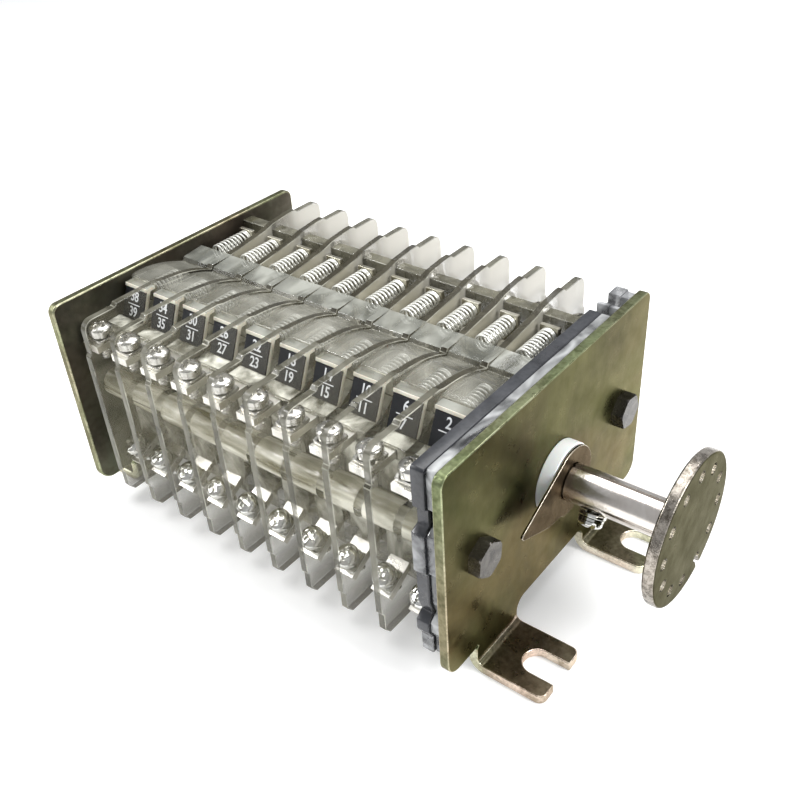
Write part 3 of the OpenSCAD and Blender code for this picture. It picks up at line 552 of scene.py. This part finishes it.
FINISHES = {
    # Plates: light and dark tone, roughness, cloud scale, specks, bump, painted light that lifts the tone at
    # the feet
    "zinc_plate": lambda name: zinc_plating(name, colours().zinc_light, colours().zinc_dark, painted_lift_below=1.95),
    "zinc_rear": ZINC((0.112, 0.102, 0.08), (0.058, 0.051, 0.04), (0.34, 0.5), 40, 1, 0.12, 1.5),
    "zinc_side": ZINC((0.205, 0.21, 0.13), (0.088, 0.092, 0.05), (0.26, 0.44), 90, 1.6, 0.2),
    # Brighter tone on the plates' rounded edges: a painted highlight
    "zinc_edge": ZINC((0.4, 0.39, 0.27), (0.17, 0.17, 0.1), (0.22, 0.36), 120, 1.2, 0.12),
    "zinc_foot": ZINC((0.175, 0.155, 0.105), (0.075, 0.064, 0.04), (0.22, 0.4), 90, 1.2, 0.15),
    # Bright tone on the feet's rounded edges and narrow sides: a painted reflection of the floor
    "foot_edge": ZINC((0.8, 0.73, 0.61), (0.36, 0.31, 0.23), (0.18, 0.32), 120, 1.2, 0.12),
    # Clear parts: dark and bright tone, opacity of both and at the rim, roughness, cloud scale, stretch, bump
    "fin_face": lambda name: fin_plastic(name, colours().fin_near, colours().fin_far, colours().fin_low,
                                         0.05, 0.2, (0.05, 0.24, 0.55, 0.86, 0.52)),
    # clear_wall and clear_boss: their cream tones are painted highlights, the blotches and streaks of
    # refracted light
    "clear_wall": CLEAR(
        (0.11, 0.104, 0.062), (1, 0.99, 0.87), (0.18, 0.96), 0.85, (0.06, 0.16), 105, (1, 1, 0.7), 0.1),
    "clear_boss": CLEAR(
        (0.24, 0.218, 0.11), (1, 0.98, 0.84), (0.5, 0.92), 0.95, (0.05, 0.12), 200, (0.16, 1, 1), 0.2),
    "clear_roof": CLEAR((0.21, 0.207, 0.172), (0.44, 0.434, 0.375), (0.15, 0.36), 0.9, (0.06, 0.16), 60),
    "clear_strip": CLEAR(
        (0.15, 0.154, 0.133), (0.37, 0.376, 0.335), (0.5, 0.8), 0.95, (0.05, 0.12), 90, (1, 0.6, 1), 0.1),
    "clear_rib": CLEAR((0.075, 0.07, 0.046), (0.18, 0.171, 0.124), (0.6, 0.82), 0.92, (0.08, 0.2), 110),
    "clear_edge": CLEAR(
        (0.055, 0.052, 0.036), (0.14, 0.134, 0.105), (0.82, 0.92), 0.97, (0.12, 0.26), 110, specular=0.2),
    "dome_edge": CLEAR(
        (0.026, 0.023, 0.015), (0.056, 0.051, 0.035), (0.86, 0.94), 0.97, (0.18, 0.32), 140, specular=0.12),
    "clear_side_edge": CLEAR(
        (0.055, 0.052, 0.036), (0.2, 0.194, 0.155), (0.78, 0.92), 0.95, (0.12, 0.26), 55, specular=0.2),
    "clear_glint": CLEAR((0.16, 0.155, 0.12), (0.52, 0.51, 0.43), (0.3, 0.7), 0.95, (0.06, 0.14), 90),
    "clear_cover": CLEAR(
        (0.055, 0.056, 0.058), (0.52, 0.53, 0.53), (0.6, 0.85), 0.9, (0.06, 0.16), 130, (1, 0.5, 0.7), 0.1),
    "smoked_clear": CLEAR(
        (0.09, 0.092, 0.096), (0.52, 0.53, 0.54), (0.6, 0.85), 0.95, (0.06, 0.18), 120, (1, 0.6, 1), 0.08),
    # The rest: two tones, roughness, cloud scale, specks, bump
    "smoked_plastic": SOLID(
        (0.05, 0.052, 0.058), (0.018, 0.019, 0.022), (0.12, 0.3), 90, 0.6, 0.06, grain=500, specular=0.45),
    "cream_nylon": SOLID((0.78, 0.75, 0.64), (0.62, 0.59, 0.48), (0.42, 0.58), 90, subsurface=0.1),
    "white_nylon": SOLID((0.86, 0.88, 0.87), (0.78, 0.8, 0.8), (0.3, 0.45), 80, subsurface=0.15),
    "label_black": SOLID((0.01, 0.011, 0.014), (0.016, 0.017, 0.02), (0.4, 0.55), 200, specular=0.3),
    "label_white": SOLID((0.86, 0.87, 0.88), (0.74, 0.76, 0.78), (0.35, 0.5), 300),
    "contact_brass": METAL((0.58, 0.56, 0.48), (0.36, 0.34, 0.27), (0.24, 0.42)),
    "plated_steel": METAL((0.62, 0.6, 0.55), (0.46, 0.44, 0.4), (0.22, 0.4), bump=0.05),
    "zinc_pointer": METAL(
        (0.085, 0.066, 0.043), (0.04, 0.03, 0.018), (0.2, 0.38), 160, 0.8, 0.1, tint=(0.75, 0.68, 0.6)),
    # Bright tone on the pointer's rounded edges: a painted highlight
    "pointer_edge": METAL((0.66, 0.6, 0.5), (0.4, 0.35, 0.27), (0.2, 0.34), bump=0.05),
    "bright_nickel": METAL(
        (0.92, 0.88, 0.84), (0.62, 0.56, 0.5), (0.12, 0.28), bump=0.05, streak=(0.05, 1, 1)),
    "grey_zinc_disc": METAL(
        (0.068, 0.065, 0.045), (0.034, 0.032, 0.021), (0.26, 0.42), 130, 1.2, 0.14, tint=(0.62, 0.6, 0.5)),
    # Walls of the disc's holes: a painted reflection in a bright tone
    "bright_hole": METAL((0.96, 0.94, 0.9), (0.7, 0.67, 0.6), (0.1, 0.24), 300),
    "disc_rim": METAL((0.46, 0.42, 0.37), (0.11, 0.095, 0.075), (0.2, 0.4), 420, 1.4, 0.3),
    "nickel_terminal": METAL(
        (0.93, 0.92, 0.87), (0.76, 0.73, 0.66), (0.22, 0.38), bump=0.04, streak=(1, 0.06, 1)),
    "nickel_screw": METAL((0.6, 0.59, 0.55), (0.38, 0.37, 0.34), (0.18, 0.32), 260, 0.6, 0.05),
    # The lower screws and the clamp screw: a brighter copy of the nickel, a painted highlight
    "chrome_screw": METAL((0.92, 0.92, 0.89), (0.6, 0.6, 0.56), (0.04, 0.12), 260, 0.6, 0.05),
    "black_steel": SOLID(
        (0.16, 0.15, 0.135), (0.06, 0.055, 0.05), (0.2, 0.36), 160, bump=0.12, metallic=0.9),
    "spring_steel": SOLID((0.88, 0.88, 0.83), (0.6, 0.6, 0.55), (0.24, 0.38), 300, metallic=0.5),
}


def finish(name):
    """The material of that name, made the first time it is asked for."""
    return bpy.data.materials.get(name + FINISH_END) or FINISHES[name](name)


# Where things stand

UPPER_SCREW = (42.8 * MM, 20.5 * MM)  # from the middle, above the shaft axis
LOWER_BEND = (30.4 * MM, -21.8 * MM)
LOWER_RUN = 10.8 * MM  # from the bend to the hole, along the slope
LOWER_TILT = 30
STRIP_T = 2.5 * MM
PLATE_WASHER_T = 1.2 * MM
STACK = PLATE_WASHER_T + 1.3 * MM  # with the spring washer
SCREW_TAIL = 4.5 * MM
GAP = 0.02 * MM  # keeps visual faces off each other


def section_middles(sizes):
    """The x of each section's contacts."""
    return sizes.first_x + sizes.strip_x + sizes.pitch * np.arange(sizes.sections)


def side_of(quarter):
    """-1 on the near side and 1 on the far side."""
    return -1 if quarter.startswith("near") else 1


def quarter_matrix(quarter, sizes, x):
    """Where a terminal screw stands: its hole at the strip's top, its own z out of the strip."""
    side = side_of(quarter)
    if quarter.endswith("upper"):
        return moved(x, side * UPPER_SCREW[0], sizes.shaft_z + UPPER_SCREW[1])
    bend = moved(x, side * LOWER_BEND[0], sizes.shaft_z + LOWER_BEND[1])
    return bend @ turned(-side * LOWER_TILT, "X") @ moved(0, side * LOWER_RUN, STRIP_T / 2)


# Screws, washers and springs


def soft_box(value, half, blur):
    """1 inside half, 0 outside half + blur, and a smooth step between them."""
    t = np.clip((half + blur - np.abs(value)) / blur, 0, 1)
    return t * t * (3 - 2 * t)


def pan_head(radius, height, cross, bars=2):
    """A pan head with a recess: top = (h - S + sqrt(S^2 - r^2)) (1 - (r/R)^9)^(1/9) less the recess, with a
    crown of radius S = 2 R. The recess is a cross of two soft bars that gets shallower outwards, or a slot of
    one bar right across. The underside is flat."""
    steps, rings = 64, 30
    share = np.sin(np.linspace(0, math.pi / 2, rings))
    r, a = np.meshgrid(share * radius, round_angles(steps), indexing="ij")
    crown = height - 2 * radius + np.sqrt(4 * radius * radius - r * r)
    top = crown * np.power(np.clip(1 - (r / radius) ** 9, 0, 1), 1 / 9)
    x, y = r * np.cos(a), r * np.sin(a)
    u, v = x * math.cos(cross) + y * math.sin(cross), -x * math.sin(cross) + y * math.cos(cross)
    reach, half, deep = (0.50, 0.10, 0.40) if bars == 2 else (1.2, 0.13, 0.55)
    end_blur, side_blur = radius * 0.12, radius * 0.07
    recess = soft_box(u, radius * reach, end_blur) * soft_box(v, radius * half, side_blur)
    if bars == 2:
        second = soft_box(v, radius * reach, end_blur) * soft_box(u, radius * half, side_blur)
        recess = np.maximum(recess, second)
    depth = height * deep * (1 - 0.35 * np.clip(r / radius, 0, 1))
    top = np.clip(top - depth * recess, 0, None)
    top[-1] = 0
    points = np.concatenate([np.stack([x, y, top], -1), np.zeros((1, steps, 3))]).reshape(-1, 3)
    return points, grid_faces(rings + 1, steps)


def threaded_shank(radius, depth, pitch, low, high, steps=24):
    """A thread: r = R - d |2 frac(z / pitch - a / 2 pi) - 1|, narrowed by a sixth over its first turn."""
    rings_a_turn, narrowing = 6, 0.16
    count = max(8, int(round((high - low) / pitch * rings_a_turn)))
    z, a = np.meshgrid(np.linspace(low, high, count), round_angles(steps), indexing="ij")
    saw = np.mod(z / pitch - a / (2 * math.pi), 1)
    r = radius - depth * np.abs(2 * saw - 1)
    r = r - np.clip((low + pitch - z) / pitch, 0, 1) * radius * narrowing
    points = polar(r, a, z)
    points = np.concatenate([points[:1] * [0, 0, 1], points, points[-1:] * [0, 0, 1]])
    return points.reshape(-1, 3), grid_faces(len(points), steps)


def terminal_screw(sizes, turn):
    """Pan head over a threaded shank, with z = 0 on the strip."""
    head = placed(pan_head(sizes.head_d / 2, sizes.head_h, turn), moved(0, 0, STACK))
    shank = threaded_shank(sizes.thread_d / 2, 0.42 * MM, sizes.thread_pitch, -STRIP_T - SCREW_TAIL,
                           STACK + 0.1 * MM)
    return [head, shank]


def plate_washer(side, hole, low, high, edge):
    """A square plate with a round hole: the outline is |x|^8 + |y|^8 = (side/2)^8 and the wall between
    outline and hole is a rounded section."""
    steps = 48
    angle = round_angles(steps)
    square = side / 2 / np.power(np.abs(np.cos(angle)) ** 8 + np.abs(np.sin(angle)) ** 8, 1 / 8)
    bevel = edge * side / 2
    rows = [(0, low), (1 - edge, low), (1, low + bevel), (1, high - bevel), (1 - edge, high), (0, high)]
    points = [polar(hole + (square - hole) * share, angle, z) for share, z in rows]
    return np.concatenate(points), grid_faces(len(rows), steps, wrap_rows=True)


def spring_washer(outer, inner, low, high, turn):
    """A split ring: a square section carried round most of a turn while it rises by a fifth of its height."""
    steps, flat = 44, 0.75  # flat is the share of each side that its corners leave
    sweep = np.linspace(math.radians(8), math.radians(352), steps) + turn
    rise = np.linspace(-0.1, 0.1, steps) * (high - low)
    half_size = [(outer - inner) / 2, (high - low) * 0.4]
    out = polar(1.0, sweep, 0.0)
    path = out * ((outer + inner) / 2)
    path[:, 2] = (low + high) / 2 + rise
    section = [(-1, -flat), (-flat, -1), (flat, -1), (1, -flat),
               (1, flat), (flat, 1), (-flat, 1), (-1, flat)]
    return swept_form(path, out, (0, 0, 1), np.array(section) * half_size)


def coil_spring(length, outer, wire, turns):
    """A wire carried along a helix: (c cos t, c sin t, s(t)), whose first and last turns lie closed."""
    steps = turns * 20 + 1
    n = np.linspace(0, turns, steps)
    gap = (length - wire - 2 * wire) / (turns - 2)
    along = wire / 2 + np.interp(n, [0, 1, turns - 1, turns], [0, wire, wire + gap * (turns - 2),
                                                              2 * wire + gap * (turns - 2)])
    t = 2 * math.pi * n
    path = polar((outer - wire) / 2, t, along)
    out = polar(1.0, t, 0.0)
    tangent = np.gradient(path, axis=0)
    tangent /= np.linalg.norm(tangent, axis=1, keepdims=True)
    return swept_form(path, out, np.cross(tangent, out), circle(8) * wire / 2)


def hex_form(across_flats, low, high, hole=0.0, both_ends=False):
    """A hexagon with turned chamfers at its top or both ends: r = min(af / 2 / cos(a mod 60 - 30), cone)."""
    steps, beyond = 72, 9.0  # beyond stands for the wall, further out than any hexagon
    flat = across_flats / 2
    height = high - low
    rows = [(hole, low), (beyond, low), (beyond, low + height * 0.12), (beyond, low + height * 0.5),
            (beyond, high - height * 0.12), (beyond, high), (hole, high)]

    def radius_of(r, z, a):
        wall = flat / np.cos(np.mod(a, math.pi / 3) - math.pi / 6)
        for end in (high - z, z - low) if both_ends else (high - z,):
            wall = np.minimum(wall, flat * 1.08 + end * 1.7)
        return np.where(r == beyond, wall, r)

    points, faces = turned_form(rows, steps, radius_of)
    if hole > 0:
        faces = grid_faces(len(rows), steps, wrap_rows=True)
    return points, faces


def add_quarters(sizes, ending, stands_for, forms_at):
    """Makes one piece for each row of terminals. forms_at(k, q) gives the forms at section k of row q."""
    for q, quarter in enumerate(QUARTERS):
        forms = [placed(form, quarter_matrix(quarter, sizes, x))
                 for k, x in enumerate(section_middles(sizes)) for form in forms_at(k, q)]
        add_piece(quarter + ending, forms, "frame", "nickel_screw", [SCREW_FINISH[q % 2]],
                  [quarter + stands_for])


class SWITCH_OT_terminal_screws(bpy.types.Operator):
    """Build the forty terminal screws with their recessed heads and threads"""

    bl_idname = "switch.terminal_screws"
    bl_label = "Terminal screws"

    def execute(self, context):
        sizes = context.scene.switch_sizes
        add_quarters(sizes, "_screw_set", "_screws",
                     lambda k, q: terminal_screw(sizes, math.radians((37 * k + 23 * q) % 90)))
        return {"FINISHED"}


class SWITCH_OT_terminal_washers(bpy.types.Operator):
    """Build the square plates and split spring washers under the screw heads"""

    bl_idname = "switch.terminal_washers"
    bl_label = "Terminal washers"

    def execute(self, context):
        hole, side, outer = 2.1 * MM, 7.4 * MM, 3.55 * MM
        add_quarters(context.scene.switch_sizes, "_washer_set", "_washers", lambda k, q: (
            plate_washer(side, hole, GAP, PLATE_WASHER_T - GAP, 0.10),
            spring_washer(outer, hole, PLATE_WASHER_T, STACK, 0.7 * k + q)))
        return {"FINISHED"}


class SWITCH_OT_contact_springs(bpy.types.Operator):
    """Build the forty coiled contact springs"""

    bl_idname = "switch.contact_springs"
    bl_label = "Contact springs"

    def execute(self, context):
        sizes = context.scene.switch_sizes
        for quarter in QUARTERS:
            low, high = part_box(quarter + "_springs")
            side = side_of(quarter)
            seat, end = sorted((abs(low.y), abs(high.y)))
            turns = 10 if quarter == "far_upper" else 8
            coil = coil_spring(end - seat, sizes.spring_d, sizes.wire_d, turns)
            forms = [placed(coil, moved(x, side * seat, (low.z + high.z) / 2) @ turned(-90 * side, "X"))
                     for x in section_middles(sizes)]
            add_piece(quarter + "_coils", forms, "frame", "spring_steel", ["spring_steel"],
                      [quarter + "_springs"])
        return {"FINISHED"}


# Rules that sort faces, with bounds in millimetres

TIE_Y = 39  # of the tie bolts, from the middle
PLATE_FACE_X = 76  # outer face of the front plate
SECTION_FINISHES = ("fin_face", "clear_glint", "clear_wall", "clear_edge", "clear_side_edge", "dome_edge",
                    "clear_roof", "clear_rib", "clear_boss", "clear_strip")


def section_rule(fin_x, shaft_z, normal, centre, places, at):
    """Sorts a section's faces: walls and the fin's edges by x, and those by height, side and slope."""
    x, y, z = centre
    across = (places != GLINT) & (np.abs(normal[0]) < 0.7)
    wall, fin, top = across & (x < fin_x), across & (x > fin_x), normal[2] > 0.5
    room = wall & (np.abs(y) < 23) & (z > 45)
    fin_top = fin & top & (z > 70)
    over_room = ((y > -24) & (y < -1)) | ((y > 7.6) & (y < 44))
    roof = wall & top & (z > 72) & (y < 8)
    rib = wall & (z > 60) & (y > 8)
    strip = (y > -1.2) & (y < 7.8) & (z > 74)
    boss = wall & (np.hypot(np.abs(y) - TIE_Y, z - shaft_z) < 5.4)
    for faces, name in ((wall, "clear_wall"), (room, "clear_roof"), (fin, "clear_side_edge"),
                        (fin_top, "clear_edge"), (fin_top & over_room, "dome_edge"), (roof, "clear_roof"),
                        (rib, "clear_rib"), (strip, "clear_strip"), (boss, "clear_boss")):
        places[faces] = at(name)


def plate_rule(normal, centre, places, at):
    """Tells a plate's narrow sides, its feet and their edges from its broad faces. The feet's edges and sides
    get a bright tone, a painted reflection.
    """
    edge, foot = places == GLINT, centre[2] < 7
    places[~edge & (np.abs(normal[0]) < 0.5)] = at("zinc_side")
    places[foot] = at("zinc_foot")
    places[foot & (edge | (np.abs(normal[2]) < 0.5))] = at("foot_edge")


def end_rule(normal, centre, places, at):
    """Makes the horn, the side steps and the foot of the end housing and its cover clear."""
    _, y, z = centre
    horn, step = (y > 37.5) & (z > 65), (np.abs(y) > 50) & (z > 43) & (z < 59)
    places[horn | step | (z < 20)] = at("smoked_clear")


def disc_rule(shaft_z, normal, centre, places, at):
    """Tells the disc's rim and the walls of its holes from its broad faces. The walls get a bright tone, a
    painted reflection.
    """
    rim = np.abs(normal[0]) < 0.8
    places[rim] = at("disc_rim")
    places[rim & (np.hypot(centre[1], centre[2] - shaft_z) < 21)] = at("bright_hole")


def shank_rule(normal, centre, places, at):
    """Shows the tie bolts' shanks bright behind the front plate, though the bolts are black all over: painted
    light that stands in for the glassy brightness of the clear bosses round them.
    """
    places[centre[0] < PLATE_FACE_X - 0.1] = at("plated_steel")


def lip_rule(normal, centre, places, at):
    """Shows the label holders' upper lips clear."""
    places[(normal[2] > 0.7) & (centre[1] > -26.9)] = at("clear_strip")


class SWITCH_OT_clear_sections(bpy.types.Operator):
    """Build the ten clear section housings with shaded edges, walls and fins"""

    bl_idname = "switch.clear_sections"
    bl_label = "Clear sections"

    def execute(self, context):
        sizes = context.scene.switch_sizes
        to_fin = 11.5  # from a section's start to its fin
        for k in range(sizes.sections):
            fin_x = (sizes.first_x + k * sizes.pitch) / MM + to_fin
            rounded_copy(f"section_housing_{k + 1:02d}", 0.22, SECTION_FINISHES, 1, glint=True, clamp=False,
                         rule=lambda *faces: section_rule(fin_x, sizes.shaft_z / MM, *faces))
        return {"FINISHED"}


class SWITCH_OT_end_parts(bpy.types.Operator):
    """Round the edges of the end plates, end housing, cover and bushings"""

    bl_idname = "switch.end_parts"
    bl_label = "End parts"

    def execute(self, context):
        for node, flat in (("front_end_plate", "zinc_plate"), ("rear_end_plate", "zinc_rear")):
            rounded_copy(node, 0.55, (flat, "zinc_edge", "zinc_foot", "foot_edge", "zinc_side"), segments=3,
                         glint=True, rule=plate_rule)
        for node, body in (("front_end_housing", "smoked_plastic"), ("front_cover", "clear_cover")):
            rounded_copy(node, 0.3, (body, "smoked_clear"), segments=1, rule=end_rule)
        for node in ("front_bushing", "rear_bushing"):
            rounded_copy(node, 0.35, ["white_nylon"])
        return {"FINISHED"}


CLAMP_X = 90.3 * MM
CLAMP_TILT = -35
CLAMP_HEAD = -8.2 * MM  # underside of the head, from the shaft axis
CLAMP_WASHER = -7.0 * MM  # outer face of the plain washer
WASHER_PROFILE = (  # radius and height in millimetres
    (2.1, 0.02), (3.8, 0.02), (4.0, 0.2), (4.0, 0.9), (3.8, 1.08), (2.1, 1.08), (2.1, 0.02))


class SWITCH_OT_crank(bpy.types.Operator):
    """Build the pointer, tube, disc and clamping screw that turn with the shaft"""

    bl_idname = "switch.crank"
    bl_label = "Crank"

    def execute(self, context):
        sizes = context.scene.switch_sizes
        rounded_copy("position_pointer", 0.15, ("zinc_pointer", "pointer_edge"), glint=True)
        rounded_copy("crank_tube", 0.2, ["bright_nickel"])
        rounded_copy("crank_disc", 0.25, ("grey_zinc_disc", "disc_rim", "bright_hole"),
                     rule=lambda *faces: disc_rule(sizes.shaft_z / MM, *faces))
        place = moved(CLAMP_X, 0, sizes.shaft_z) @ turned(CLAMP_TILT, "X")
        seat = place @ moved(0, 0, CLAMP_HEAD)
        head = placed(pan_head(3.6 * MM, 2.2 * MM, 0.9, bars=1), seat @ turned(180, "X"))
        shank = placed(threaded_shank(2.0 * MM, 0.36 * MM, 0.8 * MM, -8.15 * MM, -4.1 * MM), place)
        # The clamp screw and its washers get the brighter screw finish, a painted highlight
        add_piece("crank_clamp_screw", [head, shank], "shaft", "plated_steel", ["chrome_screw"],
                  ["crank_screw"])
        profile = [(r * MM, z * MM) for r, z in WASHER_PROFILE]
        plain = placed(turned_form(profile, 48), place @ moved(0, 0, CLAMP_WASHER))
        ring = placed(spring_washer(3.7 * MM, 2.2 * MM, 0.0, 1.15 * MM, 2.0), seat)
        add_piece("crank_clamp_washers", [plain, ring], "shaft", "plated_steel", ["chrome_screw"],
                  ["crank_screw_washers"])
        return {"FINISHED"}


class SWITCH_OT_tie_bolts(bpy.types.Operator):
    """Build the two tie bolts with chamfered heads, nuts and threads"""

    bl_idname = "switch.tie_bolts"
    bl_label = "Tie bolts"

    def execute(self, context):
        flats, radius, steps = 10 * MM, 3 * MM, 32
        plain_end, bolt_end, shaft_z = -146 * MM, -160.5 * MM, context.scene.switch_sizes.shaft_z
        head = hex_form(flats, 0.0, 3.8 * MM)
        nut = hex_form(flats, -158.5 * MM, -153.55 * MM, 3.05 * MM, both_ends=True)
        shank = turned_form([(0, plain_end), (radius, plain_end), (radius, 0.1 * MM), (0, 0.1 * MM)], steps)
        thread = threaded_shank(radius, 0.5 * MM, 1.0 * MM, bolt_end, -145.9 * MM, steps)
        bolts, nuts = [], []
        for side in (-1, 1):
            front = moved(PLATE_FACE_X * MM, side * TIE_Y * MM, shaft_z) @ turned(90, "Y")
            spun = front @ turned(12 * side + 8, "Z")
            bolts += [placed(head, spun), placed(shank, front), placed(thread, front)]
            nuts.append(placed(nut, spun))
        add_piece("tie_bolt_set", bolts, "frame", "black_steel", ("black_steel", "plated_steel"),
                  ["tie_bolts"], rule=shank_rule, angle=25)
        add_piece("tie_nut_set", nuts, "frame", "black_steel", ["black_steel"], ["tie_nuts"], angle=25)
        rounded_copy("tie_washers", 0.2, ["black_steel"])
        return {"FINISHED"}


class SWITCH_OT_contacts(bpy.types.Operator):
    """Round the edges of the terminal strips, levers and label holders"""

    bl_idname = "switch.contacts"
    bl_label = "Strips and levers"

    def execute(self, context):
        for quarter in QUARTERS:
            rounded_copy(quarter + "_terminals", 0.2, ["nickel_terminal"])
            rounded_copy(quarter + "_levers", 0.15, ["contact_brass"], segments=1)
        rounded_copy("label_holders", 0.25, ("cream_nylon", "clear_strip"), rule=lip_rule)
        rounded_copy("label_faces", 0.08, ["label_black"], segments=1)
        return {"FINISHED"}


def digits_mesh(text, height):
    """Outline of a short number as a thin mesh, centred, with y up: the text curve is turned into faces."""
    cap_share, thickening, narrowing = 0.70, 0.022, 0.86
    curve = bpy.data.curves.new("digits", "FONT")
    curve.body = text
    curve.align_x = curve.align_y = "CENTER"
    curve.size = height / cap_share
    curve.offset = height * thickening
    curve.extrude = 0.03 * MM
    curve.resolution_u = 3
    curve.space_character = 0.94
    holder = new_object("digits", curve)
    bpy.context.view_layer.update()
    mesh = bpy.data.meshes.new_from_object(holder)
    points = np.zeros(len(mesh.vertices) * 3)
    mesh.vertices.foreach_get("co", points)
    faces = [list(p.vertices) for p in mesh.polygons]
    bpy.data.objects.remove(holder)
    bpy.data.curves.remove(curve)
    bpy.data.meshes.remove(mesh)
    return points.reshape(-1, 3) * [narrowing, 1, 1], faces


def bar_form(width, height, depth):
    """A thin block with its corners drawn in, centred: a superellipse section swept across."""
    section = np.sign(circle(16)) * np.abs(circle(16)) ** 0.3 * [height / 2, depth / 2]
    return swept_form([(-width / 2, 0, 0), (width / 2, 0, 0)], (0, 1, 0), (0, 0, 1), section)


LABEL_TOP = (-27.3 * MM, 31.2 * MM)  # the label face's upper edge: y, and height above the shaft axis
LABEL_FOOT = (-31.3 * MM, 21.9 * MM)


class SWITCH_OT_label_numbers(bpy.types.Operator):
    """Write the contact numbers on the label faces"""

    bl_idname = "switch.label_numbers"
    bl_label = "Label numbers"

    def execute(self, context):
        sizes = context.scene.switch_sizes
        label_x, line_shift = 5.75 * MM, 2.55 * MM  # from a section's start, from the label's middle
        top, foot = (np.array([y, sizes.shaft_z + z]) for y, z in (LABEL_TOP, LABEL_FOOT))
        middle = (top + foot) / 2
        up = (top - foot) / np.linalg.norm(top - foot)
        out = np.array([-up[1], up[0]])
        bar = bar_form(5.6 * MM, 0.34 * MM, 0.06 * MM)
        forms = []
        for k in range(sizes.sections):
            x = sizes.first_x + k * sizes.pitch + label_x
            number = 4 * (sizes.sections - 1 - k) + 2
            for text, shift in ((str(number), line_shift), (None, 0.0), (str(number + 1), -line_shift)):
                form = digits_mesh(text, sizes.digit_h) if text else bar
                centre = middle + up * shift + out * GAP
                matrix = Matrix(((1, 0, 0, x), (0, up[0], out[0], centre[0]), (0, up[1], out[1], centre[1]),
                                 (0, 0, 0, 1)))
                forms.append(placed(form, matrix))
        add_piece("label_numbers", forms, "frame", "white_nylon", ["label_white"])
        return {"FINISHED"}


class SWITCH_OT_core_finishes(bpy.types.Operator):
    """Give every CAD node that still shows its finish"""

    bl_idname = "switch.core_finishes"
    bl_label = "Core finishes"

    def execute(self, context):
        for name, node in NODES.items():
            if not node.hide_render:
                for place in node.material_slots:
                    place.material = finish(NODE_SLOT[name])
        return {"FINISHED"}


LIGHTS = (  # name, place, the point that it faces, size, power
    ("sky_panel", (-0.05, 0.25, 0.80), (0, 0, 0.03), 0.7, 6.0),
    ("near_panel", (-0.46, -0.28, 0.60), (0, -0.03, 0.03), 0.17, 2.6),
    ("left_panel", (-0.6, -0.55, 0.4), (0, 0, 0.03), 0.40, 2.4),
    ("front_panel", (0.70, 0.10, 0.50), (0.08, 0, 0.02), 0.35, 5.0),
)


def add_light(name, place, target, size, power):
    """A square soft light that faces a point."""
    light = bpy.data.lights.new(name, "AREA")
    light.shape, light.size, light.energy = "SQUARE", size, power
    lamp = new_object(name, light)
    lamp.location = place
    lamp.rotation_euler = Vector(np.subtract(target, place)).to_track_quat("-Z", "Y").to_euler()


class SWITCH_OT_stage(bpy.types.Operator):
    """Set the pale floor, the soft lights, the world and the camera of the photograph"""

    bl_idname = "switch.stage"
    bl_label = "Stage"

    def execute(self, context):
        scene = context.scene
        values = scene.switch_stage
        side = 6.0
        mesh = bpy.data.meshes.new("floor")
        corners = [(-side, -side, 0), (side, -side, 0), (side, side, 0), (-side, side, 0)]
        mesh.from_pydata(corners, [], [(0, 1, 2, 3)])
        tone = scene.switch_colours.floor
        pale = solid_finish("floor", tone, tone, (0.6, 0.7), scale=4.0, grain=60.0, bump=0.0, specular=0.1)
        glow = pale.node_tree.nodes["Principled BSDF"].inputs
        glow["Emission Color"].default_value, glow["Emission Strength"].default_value = (1, 1, 1, 1), 0.2
        mesh.materials.append(pale)
        new_object("floor", mesh)
        for light in LIGHTS:
            add_light(*light)
        world = bpy.data.worlds.new("studio")
        world.use_nodes = True
        sky = world.node_tree.nodes["Background"].inputs
        sky["Color"].default_value, sky["Strength"].default_value = (0.95, 0.97, 1.0, 1), 0.50
        scene.world = world
        camera = bpy.data.cameras.new("camera")
        camera.lens, camera.sensor_width, camera.clip_start = values.lens, 36.0, 0.01
        camera.shift_x, camera.shift_y = values.shift_x, values.shift_y
        viewer = new_object("camera", camera)
        viewer.location = values.camera_place
        viewer.rotation_euler = values.camera_turn
        scene.camera = viewer
        scene.view_settings.view_transform = "Standard"
        scene.cycles.transparent_max_bounces = 64
        return {"FINISHED"}


OPERATORS = (
    SWITCH_OT_clear_sections, SWITCH_OT_end_parts, SWITCH_OT_contacts, SWITCH_OT_contact_springs,
    SWITCH_OT_terminal_screws, SWITCH_OT_terminal_washers, SWITCH_OT_label_numbers, SWITCH_OT_tie_bolts,
    SWITCH_OT_crank, SWITCH_OT_core_finishes, SWITCH_OT_stage,
)


class SWITCH_PT_panel(bpy.types.Panel):
    """Lists the steps that build the switch"""

    bl_label = "Auxiliary switch"
    bl_idname = "SWITCH_PT_panel"
    bl_space_type = "VIEW_3D"
    bl_region_type = "UI"
    bl_category = "Switch"

    def draw(self, context):
        for operator in OPERATORS:
            self.layout.operator(operator.bl_idname)


GROUPS = {"switch_sizes": SwitchSizes, "switch_colours": SwitchColours, "switch_stage": StageValues}
CLASSES = (*GROUPS.values(), *OPERATORS, SWITCH_PT_panel)


def register():
    for c in CLASSES:
        bpy.utils.register_class(c)
    for name, group in GROUPS.items():
        setattr(bpy.types.Scene, name, PointerProperty(type=group))


def unregister():
    for name in GROUPS:
        delattr(bpy.types.Scene, name)
    for c in reversed(CLASSES):
        bpy.utils.unregister_class(c)


def main():
    register()
    for operator in OPERATORS:
        group, name = operator.bl_idname.split(".")
        getattr(getattr(bpy.ops, group), name)()


if __name__ == "__main__":
    main()
